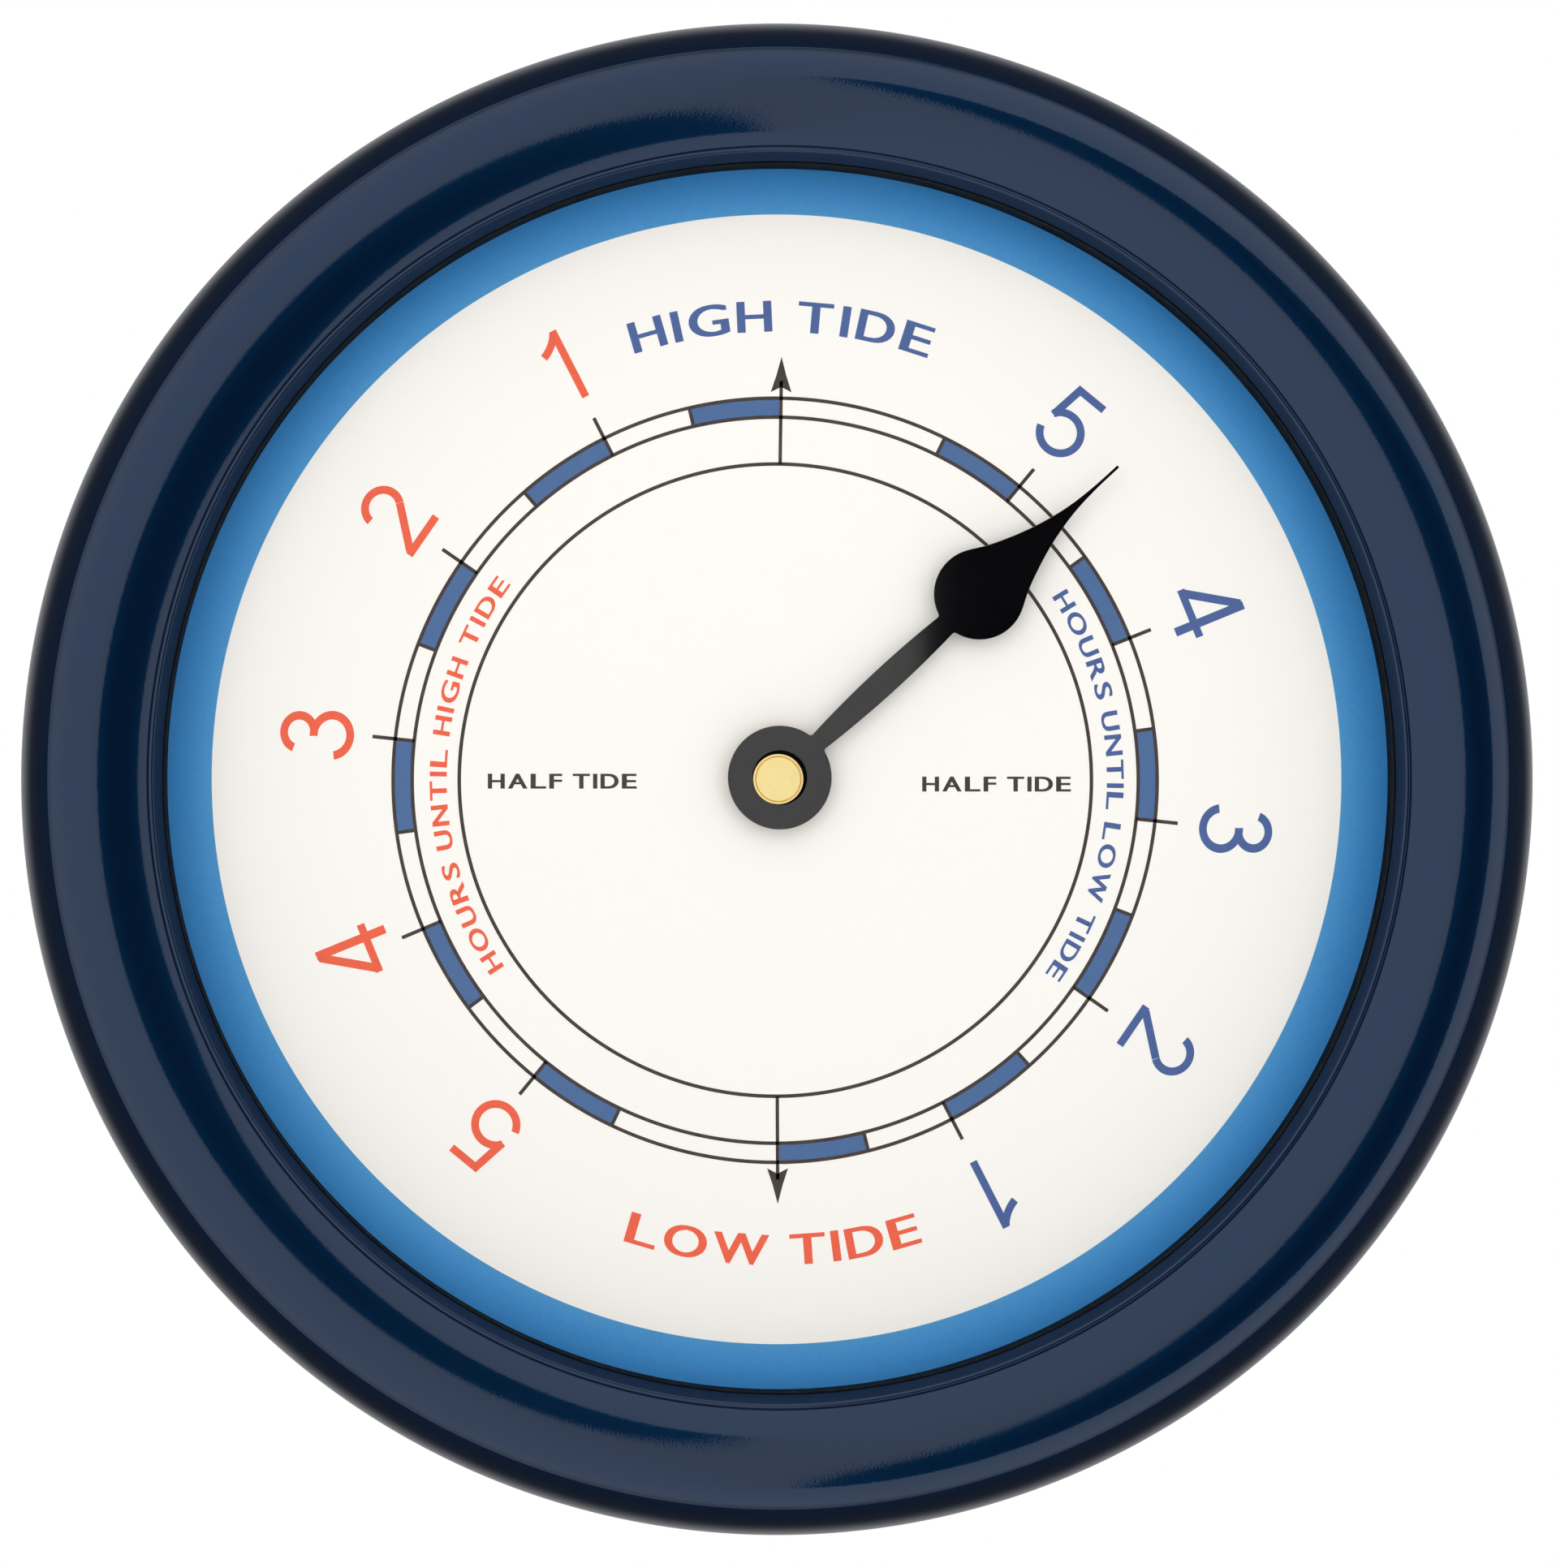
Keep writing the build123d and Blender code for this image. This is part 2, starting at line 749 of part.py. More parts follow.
with BuildPart() as rotor_magnet:
    disc(rotor_place, magnet_radius, magnet_rear, magnet_front)
    disc(rotor_place, pivot_radius + press_fit, magnet_rear, magnet_front, mode=Mode.SUBTRACT)
finish(rotor_magnet, "rotor_magnet")

# Stator: a flat plate round the magnet, with the arms that meet the coil's core
stator_hole = magnet_radius + stator_gap
with BuildPart() as stator:
    with BuildSketch(facing(stator_rear)):
        with Locations(rotor_place):
            Circle(stator_hole + stator_ring)
        with Locations(((core_left_end + core_right_end) / 2, core_level)):
            Rectangle(core_right_end - core_left_end, stator_arm)
        with Locations((core_right_end - stator_arm / 2, (core_level + rotor_place[1]) / 2)):
            Rectangle(stator_arm, core_drop)
        with Locations(((core_left_end + rotor_place[0]) / 2, rotor_place[1] - arm_drop)):
            Rectangle(core_left, stator_arm)
        with Locations((core_left_end + stator_arm / 2, (core_level + rotor_place[1] - arm_drop) / 2)):
            Rectangle(stator_arm, core_drop - arm_drop + stator_arm)
        with Locations(rotor_place):
            Circle(stator_hole, mode=Mode.SUBTRACT)
    extrude(amount=stator_thickness)
finish(stator, "stator")

# Coil: a flanged bobbin on the core and the wire wound on it
core_axis_height = (stator_rear + stator_front) / 2
bobbin_left = core_left_end + bobbin_inset
bobbin_right = core_right_end - bobbin_inset
bobbin_start = Plane(origin=(bobbin_left, -core_axis_height, core_level), x_dir=(0, 1, 0), z_dir=(1, 0, 0))
bobbin_span = bobbin_right - bobbin_left
with BuildPart() as coil_bobbin:
    with BuildSketch(bobbin_start):
        Circle(bobbin_radius)
    extrude(amount=bobbin_span)
    with BuildSketch(bobbin_start, bobbin_start.offset(bobbin_span - bobbin_flange)):
        Circle(bobbin_flange_radius)
    extrude(amount=bobbin_flange)
    with BuildSketch(bobbin_start):
        Rectangle(stator_thickness + 2 * bobbin_fit, stator_arm + 2 * bobbin_fit)
    extrude(amount=bobbin_span, mode=Mode.SUBTRACT)
finish(coil_bobbin, "coil_bobbin")

with BuildPart() as coil_winding:
    with BuildSketch(bobbin_start.offset(bobbin_flange + press_fit)):
        Circle(winding_radius)
        Circle(bobbin_radius + press_fit, mode=Mode.SUBTRACT)
    extrude(amount=bobbin_span - 2 * (bobbin_flange + press_fit))
finish(coil_winding, "coil_winding")

# Circuit board, its chip and its crystal
with BuildPart() as circuit_board:
    with BuildSketch(facing(circuit_rear)):
        with Locations(circuit_middle):
            Rectangle(board_width, board_height)
    extrude(amount=board_sheet)
finish(circuit_board, "circuit_board")

with BuildPart() as chip:
    with BuildSketch(facing(circuit_front)):
        with Locations((circuit_middle[0] + pillar_radius, circuit_middle[1] - chip_drop)):
            RectangleRounded(chip_size, chip_size, chip_corner)
    extrude(amount=chip_height)
finish(chip, "chip")

crystal_across = circuit_middle[0] + crystal_offset
crystal_height = circuit_front + crystal_radius + press_fit
crystal_foot = Plane(origin=(crystal_across, -crystal_height, circuit_middle[1]))
with BuildPart() as quartz_crystal:
    with BuildSketch(crystal_foot):
        Circle(crystal_radius)
    extrude(amount=crystal_length)
    chamfer(quartz_crystal.edges().filter_by(GeomType.CIRCLE), crystal_radius * crystal_bevel_share)
finish(quartz_crystal, "quartz_crystal")

# Centre arbor, from the setting knob through the clutch into the hour pipe
arbor_front = bushing_front - bushing_proud
with BuildPart() as centre_arbor:
    disc(centre_place, arbor_radius, knob_wall_gap + knob_cap, arbor_front)
    disc(centre_place, arbor_shoulder_radius, centre_rear - arbor_shoulder_height, centre_rear)
    disc(centre_place, arbor_seat_radius, centre_rear, cannon_rear)
finish(centre_arbor, "centre_arbor")

with BuildPart() as clutch_spring:
    ring(arbor_seat_radius + press_fit, clutch_radius, clutch_rear, cannon_rear)
finish(clutch_spring, "clutch_spring")

# Cannon pinion, pressed on the arbor above the clutch
cannon_front = minute_wheel_rear + wheel_thickness + pinion_overrun
with BuildPart() as cannon_pinion:
    disc(centre_place, cannon_flange_radius, cannon_rear, cannon_rear + cannon_flange_thickness)
    disc(centre_place, cannon_tube_radius, cannon_rear, minute_wheel_rear)
    toothed_disc(
        centre_place,
        cannon_teeth,
        cannon_module,
        minute_direction,
        minute_wheel_rear - pinion_overrun,
        cannon_front,
    )
    disc(centre_place, arbor_radius + press_fit, cannon_rear, cannon_front, mode=Mode.SUBTRACT)
finish(cannon_pinion, "cannon_pinion")

# Setting knob with its notched edge
with BuildPart() as setting_knob:
    with BuildSketch(facing(knob_wall_gap)):
        Circle(knob_radius)
        with PolarLocations(knob_radius, knob_notches):
            Rectangle(2 * knob_notch_depth, knob_notch_width, mode=Mode.SUBTRACT)
    extrude(amount=knob_height)
    knob_front = knob_wall_gap + knob_height
    disc(centre_place, arbor_radius + press_fit, knob_wall_gap + knob_cap, knob_front, Mode.SUBTRACT)
finish(setting_knob, "setting_knob")

# Minute wheel and its pinion, which run on the post
minute_wheel_front = minute_wheel_rear + wheel_thickness
with BuildPart() as minute_wheel:
    toothed_disc(
        minute_place,
        minute_teeth,
        cannon_module,
        gap_towards(minute_direction, minute_teeth),
        minute_wheel_rear,
        minute_wheel_front,
    )
    toothed_disc(
        minute_place,
        minute_pinion_teeth,
        hour_module,
        minute_direction + 180,
        minute_wheel_front,
        hour_wheel_front + pinion_overrun,
    )
    disc(
        minute_place,
        minute_post_radius + running_fit,
        minute_wheel_rear,
        hour_wheel_front + pinion_overrun,
        Mode.SUBTRACT,
    )
finish(minute_wheel, "minute_wheel")

# Hour wheel with the pipe that carries the hand
pipe_front = collet_front - collet_cap
with BuildPart() as hour_wheel:
    toothed_disc(
        centre_place,
        hour_teeth,
        hour_module,
        gap_towards(minute_direction + 180, hour_teeth),
        hour_wheel_rear,
        hour_wheel_front,
    )
    disc(centre_place, hour_pipe_radius, hour_wheel_front, pipe_front)
    disc(centre_place, arbor_radius + pipe_bore_fit, hour_wheel_rear, pipe_front, mode=Mode.SUBTRACT)
finish(hour_wheel, "hour_wheel")

# Brass collet: a flange behind the blade and a turned cap with a bevelled edge in front
with BuildPart() as hand_collet:
    with BuildSketch(side_plane):
        with BuildLine():
            Polyline(
                (0, pipe_front),
                (0, collet_front),
                (collet_radius - collet_bevel, collet_front),
                (collet_radius, collet_front - collet_bevel),
                (collet_radius, blade_rear),
                (collet_flange_radius, blade_rear),
                (collet_flange_radius, collet_rear),
                (hour_pipe_radius + press_fit, collet_rear),
                (hour_pipe_radius + press_fit, pipe_front),
                close=True,
            )
        make_face()
    revolve(axis=Axis.Y)
finish(hand_collet, "hand_collet")

# Hand blade: round hub, swelling neck, round spade and long hollow-flanked tip
reach = radians(hand_angle)
blade_plane = Plane(origin=(0, -blade_rear, 0), x_dir=(sin(reach), 0, cos(reach)), z_dir=(0, -1, 0))
neck_root = hub_radius - neck_root_width / 2
neck_end = spade_centre - spade_radius
neck_sunk = neck_end + neck_end_width
neck_middle = (neck_root + neck_end) / 2
tip_span = tip_reach - spade_centre
flank_start = spade_centre + flank_start_share * tip_span
flank_start_half = (spade_radius**2 - (flank_start - spade_centre) ** 2) ** 0.5
flank_points = [(spade_centre + along * tip_span, half * spade_radius) for along, half in flank_shares]
tip_start = tip_reach - tip_width / 2
with BuildPart() as hand_blade:
    with BuildSketch(blade_plane) as blade_face:
        Circle(hub_radius)
        with Locations((spade_centre, 0)):
            Circle(spade_radius)
        with BuildLine():
            ThreePointArc(
                (neck_root, neck_root_width / 2),
                (neck_middle, neck_middle_width / 2),
                (neck_sunk, neck_end_width / 2),
            )
            Line((neck_sunk, neck_end_width / 2), (neck_sunk, -neck_end_width / 2))
            ThreePointArc(
                (neck_sunk, -neck_end_width / 2),
                (neck_middle, -neck_middle_width / 2),
                (neck_root, -neck_root_width / 2),
            )
            Line((neck_root, -neck_root_width / 2), (neck_root, neck_root_width / 2))
        make_face()
        neck_corners = blade_face.vertices().filter_by_position(
            Axis.X, hub_radius - neck_root_width, neck_end + neck_end_width / 2
        )
        fillet(neck_corners, neck_fillet)
        with BuildLine():
            Spline(
                (flank_start, flank_start_half),
                *flank_points,
                (tip_start, tip_width / 2),
                tangents=((flank_start_half, spade_centre - flank_start), (1, 0)),
            )
            ThreePointArc((tip_start, tip_width / 2), (tip_reach, 0), (tip_start, -tip_width / 2))
            Spline(
                (flank_start, -flank_start_half),
                *[(along, -half) for along, half in flank_points],
                (tip_start, -tip_width / 2),
                tangents=((flank_start_half, flank_start - spade_centre), (1, 0)),
            )
            Line((flank_start, -flank_start_half), (flank_start, flank_start_half))
        make_face()
        Circle(hub_hole_radius, mode=Mode.SUBTRACT)
    extrude(amount=blade_thickness)
finish(hand_blade, "hand_blade")

# Battery: a steel can with its nub, and the sleeve round it
battery_start = Plane(
    origin=(-battery_length / 2, -battery_axis_height, battery_middle), x_dir=(0, 1, 0), z_dir=(1, 0, 0)
)
can_length = battery_length - battery_nub_height
with BuildPart() as battery_can:
    with BuildSketch(battery_start):
        Circle(battery_radius)
    extrude(amount=can_length)
    chamfer(battery_can.edges().filter_by(GeomType.CIRCLE), battery_end_bevel)
    with BuildSketch(battery_start.offset(can_length)):
        Circle(battery_nub_radius)
    extrude(amount=battery_nub_height)
finish(battery_can, "battery_can")

with BuildPart() as battery_sleeve_tube:
    with BuildSketch(battery_start.offset(battery_end_bevel)):
        Circle(battery_outer_radius)
        Circle(battery_radius + press_fit, mode=Mode.SUBTRACT)
    extrude(amount=can_length - 2 * battery_end_bevel)
finish(battery_sleeve_tube, "battery_sleeve")

# Contacts: a flat plate with a round pad at the nub, and a bowed leaf at the other end
contact_length = contact_room - contact_gap
right_wall = Plane(
    origin=(trough_length / 2, -battery_axis_height, battery_middle), x_dir=(0, 1, 0), z_dir=(-1, 0, 0)
)
with BuildPart() as positive_contact:
    with BuildSketch(right_wall):
        Rectangle(contact_reach, contact_width)
    extrude(amount=contact_thickness)
    with BuildSketch(right_wall.offset(contact_thickness)):
        Circle(contact_pad_radius)
    extrude(amount=contact_length - contact_thickness)
finish(positive_contact, "positive_contact")

left_wall = Plane(
    origin=(-trough_length / 2, -battery_axis_height, battery_middle - contact_width / 2),
    x_dir=(0, 1, 0),
    z_dir=(0, 0, 1),
)
with BuildPart() as negative_contact:
    with BuildSketch(left_wall):
        with BuildLine():
            Polyline(
                (-contact_reach / 2, -contact_thickness),
                (-contact_reach / 2, 0),
                (contact_reach / 2, 0),
                (contact_reach / 2, -contact_thickness),
            )
            ThreePointArc(
                (contact_reach / 2, -contact_thickness),
                (0, -contact_length),
                (-contact_reach / 2, -contact_thickness),
            )
        make_face()
        with BuildLine():
            Line(
                (contact_reach / 2 - leaf_thickness, -contact_thickness),
                (-contact_reach / 2 + leaf_thickness, -contact_thickness),
            )
            ThreePointArc(
                (-contact_reach / 2 + leaf_thickness, -contact_thickness),
                (0, -contact_length + leaf_thickness),
                (contact_reach / 2 - leaf_thickness, -contact_thickness),
            )
        make_face(mode=Mode.SUBTRACT)
    extrude(amount=contact_width)
finish(negative_contact, "negative_contact")
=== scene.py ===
import math

import bmesh
import bpy
from mathutils import Matrix, Vector


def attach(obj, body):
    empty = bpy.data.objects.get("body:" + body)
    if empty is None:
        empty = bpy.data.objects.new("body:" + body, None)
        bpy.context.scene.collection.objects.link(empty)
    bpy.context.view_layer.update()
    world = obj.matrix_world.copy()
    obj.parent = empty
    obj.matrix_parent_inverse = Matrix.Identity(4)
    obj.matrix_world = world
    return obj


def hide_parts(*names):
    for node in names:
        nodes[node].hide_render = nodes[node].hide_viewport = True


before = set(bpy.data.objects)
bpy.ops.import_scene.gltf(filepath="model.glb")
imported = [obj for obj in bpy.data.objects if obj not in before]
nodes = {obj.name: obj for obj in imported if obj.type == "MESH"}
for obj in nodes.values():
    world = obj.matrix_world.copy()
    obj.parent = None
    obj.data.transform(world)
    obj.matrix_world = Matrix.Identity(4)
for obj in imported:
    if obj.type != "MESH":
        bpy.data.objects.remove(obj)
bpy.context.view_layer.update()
mm = 0.001
turn = 2 * math.pi
mergeDistance = 0.0000005  # metres; vertices nearer than this are one
print("frame loaded:", len(nodes), "nodes")


def newMaterial(name):
    material = bpy.data.materials.new(name)
    material.use_nodes = True
    tree = material.node_tree
    return material, tree, tree.nodes["Principled BSDF"]


def feed(tree, socket, value):
    if isinstance(value, bpy.types.NodeSocket):
        tree.links.new(value, socket)
    else:
        socket.default_value = value


def addNode(tree, kind, inputs=None, **settings):
    node = tree.nodes.new(kind)
    for key, value in settings.items():
        setattr(node, key, value)
    for key, value in (inputs or {}).items():
        feed(tree, node.inputs[key], value)
    return node


def setShader(tree, shader, values):
    for key, value in values.items():
        feed(tree, shader.inputs[key], value)


def mixColour(tree, factor, first, second, blend="MIX"):
    node = addNode(tree, "ShaderNodeMix", data_type="RGBA", blend_type=blend)
    feed(tree, node.inputs[0], factor)
    feed(tree, node.inputs[6], first)
    feed(tree, node.inputs[7], second)
    return node.outputs[2]


def mixValue(tree, factor, first, second):
    return addNode(tree, "ShaderNodeMix", {0: factor, 2: first, 3: second}).outputs[0]


def mixSurface(tree, factor, first, second):
    mix = addNode(tree, "ShaderNodeMixShader", {0: factor, 1: first.outputs[0], 2: second.outputs[0]})
    tree.links.new(mix.outputs[0], tree.nodes["Material Output"].inputs["Surface"])


def compute(tree, operation, *values):
    return addNode(tree, "ShaderNodeMath", dict(enumerate(values)), operation=operation).outputs[0]


def ease(tree, value, start, end, low=0.0, high=1.0, curve="SMOOTHSTEP"):
    inputs = {"Value": value, "From Min": start, "From Max": end, "To Min": low, "To Max": high}
    return addNode(tree, "ShaderNodeMapRange", inputs, interpolation_type=curve).outputs["Result"]


def noise(tree, place, scale, detail, **more):
    inputs = {"Vector": place, "Scale": scale, "Detail": detail, **more}
    return addNode(tree, "ShaderNodeTexNoise", inputs).outputs[0]


def lengthOf(tree, vector):
    return addNode(tree, "ShaderNodeVectorMath", {0: vector}, operation="LENGTH").outputs["Value"]


def fromAxis(tree, place):
    # the distance from the dial's axis
    flat = addNode(tree, "ShaderNodeVectorMath", {0: place, 1: (1, 0, 1)}, operation="MULTIPLY")
    return lengthOf(tree, flat.outputs[0])


def objectPlace(tree):
    return tree.nodes.new("ShaderNodeTexCoord").outputs["Object"]


def rgb(red, green, blue):
    # sRGB numbers from 0 to 255 as a linear colour
    shares = [part / 255 for part in (red, green, blue)]
    return (*[s / 12.92 if s <= 0.04045 else ((s + 0.055) / 1.055) ** 2.4 for s in shares], 1)


def newGroup(name, inputs, outputs):
    tree = bpy.data.node_groups.new(name, "ShaderNodeTree")
    for label, kind, value in inputs:
        socket = tree.interface.new_socket(label, in_out="INPUT", socket_type="NodeSocket" + kind)
        socket.default_value = value
    for label, kind in outputs:
        tree.interface.new_socket(label, in_out="OUTPUT", socket_type="NodeSocket" + kind)
    return tree, tree.nodes.new("NodeGroupInput").outputs, tree.nodes.new("NodeGroupOutput").inputs


def useGroup(tree, group, inputs):
    node = tree.nodes.new("ShaderNodeGroup")
    node.node_tree = group
    for key, value in inputs.items():
        feed(tree, node.inputs[key], value)
    return node.outputs


# fine grain of a moulded or pressed surface: a soft swell with a tight grain on it
grainGroup, grainIn, grainOut = newGroup(
    "fineGrain",
    [
        ("Place", "Vector", (0, 0, 0)), ("Swell Scale", "Float", 200.0), ("Grain Scale", "Float", 2500.0),
        ("Grain Share", "Float", 0.5),
    ],
    [("Height", "Float"), ("Mask", "Float")],
)
swell = noise(grainGroup, grainIn["Place"], grainIn["Swell Scale"], 1.5)
tight = noise(grainGroup, grainIn["Place"], grainIn["Grain Scale"], 2.0)
joined = mixValue(grainGroup, grainIn["Grain Share"], swell, tight)
grainGroup.links.new(joined, grainOut["Height"])
grainGroup.links.new(tight, grainOut["Mask"])

# slow drift of a colour over a piece
driftGroup, driftIn, driftOut = newGroup(
    "toneDrift",
    [
        ("Place", "Vector", (0, 0, 0)), ("Colour", "Color", (1, 1, 1, 1)), ("Scale", "Float", 40.0),
        ("Amount", "Float", 0.06),
    ],
    [("Colour", "Color")],
)
cloud = noise(driftGroup, driftIn["Place"], driftIn["Scale"], 4.0, Roughness=0.6)
wander = compute(driftGroup, "SUBTRACT", cloud, 0.5)
level = compute(driftGroup, "MULTIPLY_ADD", wander, driftIn["Amount"], 1.0)
toned = addNode(driftGroup, "ShaderNodeVectorMath", {0: driftIn["Colour"], 1: level}, operation="MULTIPLY")
driftGroup.links.new(toned.outputs[0], driftOut["Colour"])

# rings left by turning about the dial's axis
turnedGroup, turnedIn, turnedOut = newGroup(
    "turnedRings", [("Place", "Vector", (0, 0, 0)), ("Pitch", "Float", 9000.0)], [("Height", "Float")]
)
ringNoise = addNode(
    turnedGroup, "ShaderNodeTexNoise",
    {"W": fromAxis(turnedGroup, turnedIn["Place"]), "Scale": turnedIn["Pitch"], "Detail": 3.0},
    noise_dimensions="1D",
)
turnedGroup.links.new(ringNoise.outputs[0], turnedOut["Height"])
print("shared effects ready")


def bumped(tree, height, depth):
    return addNode(tree, "ShaderNodeBump", {"Height": height, "Distance": depth}).outputs["Normal"]


def grained(tree, place, swellScale, grainScale, share):
    values = {"Place": place, "Swell Scale": swellScale, "Grain Scale": grainScale, "Grain Share": share}
    return useGroup(tree, grainGroup, values)


def drifted(tree, place, colour, scale, amount):
    values = {"Place": place, "Colour": colour, "Scale": scale, "Amount": amount}
    return useGroup(tree, driftGroup, values)["Colour"]


def unevenRoughness(tree, mask, roughness, look):
    low, high = look["roughShares"]
    return ease(tree, mask, *look["maskRange"], roughness * low, roughness * high)


# gloss paint of the rim: scales are marks per metre, depths are metres
# here and below, drift is a scale and an amount, and a grain is its two scales and the finer one's share
paint = {
    "base": rgb(1, 17, 40), "drift": (30.0, 0.10), "baseRoughness": 0.30, "sheen": 0.8,
    "sheenTint": (0.05, 0.36, 1.0, 1), "peel": (620.0, 2300.0, 0.30), "peelDepth": 0.000012,
    "coatRoughness": 0.03, "coatIor": 1.5, "coatScale": 3400.0, "coatDepth": 0.000006,
}


def navyPaint():
    material, tree, shader = newMaterial("navyPaint")
    place = objectPlace(tree)
    tone = drifted(tree, place, paint["base"], *paint["drift"])
    peel = grained(tree, place, *paint["peel"])
    ripple = noise(tree, place, paint["coatScale"], 1.0)
    setShader(tree, shader, {
        "Base Color": tone,
        "Roughness": paint["baseRoughness"],
        "Specular IOR Level": paint["sheen"],
        "Specular Tint": paint["sheenTint"],
        "Normal": bumped(tree, peel["Height"], paint["peelDepth"]),
        "Coat Weight": 1.0,
        "Coat Roughness": paint["coatRoughness"],
        "Coat IOR": paint["coatIor"],
        "Coat Normal": bumped(tree, ripple, paint["coatDepth"]),
    })
    return material


glassIor = 1.08  # low, because the glass shows next to no reflection


def clearGlass():
    material, tree, shader = newMaterial("clearGlass")
    setShader(tree, shader, {
        "Base Color": (1, 1, 1, 1), "Roughness": 0.0, "IOR": glassIor, "Transmission Weight": 1.0,
    })
    # light and gloss pass straight through
    path = tree.nodes.new("ShaderNodeLightPath").outputs
    through = compute(tree, "MAXIMUM", path["Is Shadow Ray"], path["Is Diffuse Ray"])
    through = compute(tree, "MAXIMUM", through, path["Is Glossy Ray"])
    mixSurface(tree, through, shader, tree.nodes.new("ShaderNodeBsdfTransparent"))
    return material


# the dial's paper, white inside its blue border
dialPrint = {
    "centre": (-0.0002, -0.00008),  # x and z of the white disc's centre
    "inkCentre": (-0.00057, -0.00032),  # and of the lines and numerals, which are printed a little off it
    "whiteRadius": 95.05 * mm, "edgeRadius": 102.7 * mm, "edgeBlur": 0.04 * mm,
    "paper": rgb(252, 249, 243), "paperDrift": (300.0, 0.012),
    "border": [
        (0.0, rgb(73, 153, 210)), (0.28, rgb(66, 147, 213)),
        (0.52, rgb(57, 144, 212)), (1.0, rgb(53, 141, 213)),
    ],
    "sprayScale": 2600.0, "sprayShare": 0.16, "fibre": (500.0, 4000.0, 0.6), "fibreDepth": 0.000004,
    "roughness": 0.55, "sheen": 0.25,
}


def printedDial():
    material, tree, shader = newMaterial("printedDial")
    place = objectPlace(tree)
    x, z = dialPrint["centre"]
    moved = addNode(tree, "ShaderNodeMapping", {"Vector": place, "Location": (-x, 0, -z)})
    away = fromAxis(tree, moved.outputs[0])
    inner, outer, blur = (dialPrint[key] for key in ("whiteRadius", "edgeRadius", "edgeBlur"))
    ramp = tree.nodes.new("ShaderNodeValToRGB")
    stops = ramp.color_ramp.elements
    for index, (spot, colour) in enumerate(dialPrint["border"]):
        stop = stops[index] if index < 2 else stops.new(spot)
        stop.position = spot
        stop.color = colour
    tree.links.new(ease(tree, away, inner, outer, curve="LINEAR"), ramp.inputs[0])
    spray = noise(tree, place, dialPrint["sprayScale"], 3.0)
    border = mixColour(tree, dialPrint["sprayShare"], ramp.outputs[0], spray, "SOFT_LIGHT")
    paper = drifted(tree, place, dialPrint["paper"], *dialPrint["paperDrift"])
    fibre = grained(tree, place, *dialPrint["fibre"])
    setShader(tree, shader, {
        "Base Color": mixColour(tree, ease(tree, away, inner - blur, inner + blur), paper, border),
        "Roughness": dialPrint["roughness"],
        "Specular IOR Level": dialPrint["sheen"],
        "Normal": bumped(tree, fibre["Height"], dialPrint["fibreDepth"]),
    })
    return material


inks = {
    "inkDark": rgb(70, 60, 56), "inkBlue": rgb(72, 99, 158), "inkBand": rgb(73, 107, 157),
    "inkRed": rgb(243, 98, 66),
}
inkLook = {"drift": (900.0, 0.22), "dotScale": 5200.0, "dotShare": 0.12, "roughness": 0.5, "sheen": 0.3}


def printInk(name, colour):
    material, tree, shader = newMaterial(name)
    place = objectPlace(tree)
    dots = noise(tree, place, inkLook["dotScale"], 1.0)
    tone = drifted(tree, place, colour, *inkLook["drift"])
    setShader(tree, shader, {
        "Base Color": mixColour(tree, inkLook["dotShare"], tone, dots, "SOFT_LIGHT"),
        "Roughness": inkLook["roughness"],
        "Specular IOR Level": inkLook["sheen"],
    })
    return material


handLook = {
    "black": rgb(9, 8, 11), "drift": (120.0, 0.3), "roughness": 0.035, "shine": 0.875,
    "grain": (260.0, 5200.0, 0.55), "grainDepth": 0.0000008,
}


def satinBlack():
    material, tree, shader = newMaterial("satinBlack")
    place = objectPlace(tree)
    grain = grained(tree, place, *handLook["grain"])
    setShader(tree, shader, {
        "Base Color": drifted(tree, place, handLook["black"], *handLook["drift"]),
        "Roughness": handLook["roughness"],
        "Specular IOR Level": handLook["shine"],
        "Normal": bumped(tree, grain["Height"], handLook["grainDepth"]),
    })
    return material


turnedLook = {"drift": (700.0, 0.14), "maskRange": (0.3, 0.7), "roughShares": (0.8, 1.25)}


def turnedMetal(name, colour, roughness, pitch, depth, metallic=1.0):
    material, tree, shader = newMaterial(name)
    place = objectPlace(tree)
    rings = useGroup(tree, turnedGroup, {"Place": place, "Pitch": pitch})
    setShader(tree, shader, {
        "Base Color": drifted(tree, place, colour, *turnedLook["drift"]),
        "Metallic": metallic,
        "Roughness": unevenRoughness(tree, rings["Height"], roughness, turnedLook),
        "Normal": bumped(tree, rings["Height"], depth),
    })
    return material


# the swell of the grain is coarser than the grain itself by swellPart
castLook = {
    "swellPart": 6, "grainShare": 0.5, "drift": (240.0, 0.2), "maskRange": (0.3, 0.7),
    "roughShares": (0.8, 1.2),
}


def castMetal(name, colour, roughness, scale, depth):
    material, tree, shader = newMaterial(name)
    place = objectPlace(tree)
    grain = grained(tree, place, scale / castLook["swellPart"], scale, castLook["grainShare"])
    setShader(tree, shader, {
        "Base Color": drifted(tree, place, colour, *castLook["drift"]),
        "Metallic": 1.0,
        "Roughness": unevenRoughness(tree, grain["Mask"], roughness, castLook),
        "Normal": bumped(tree, grain["Height"], depth),
    })
    return material


mouldedLook = {
    "swellPart": 12, "grainShare": 0.7, "driftScale": 60.0, "maskRange": (0.25, 0.75),
    "roughShares": (0.85, 1.15),
}


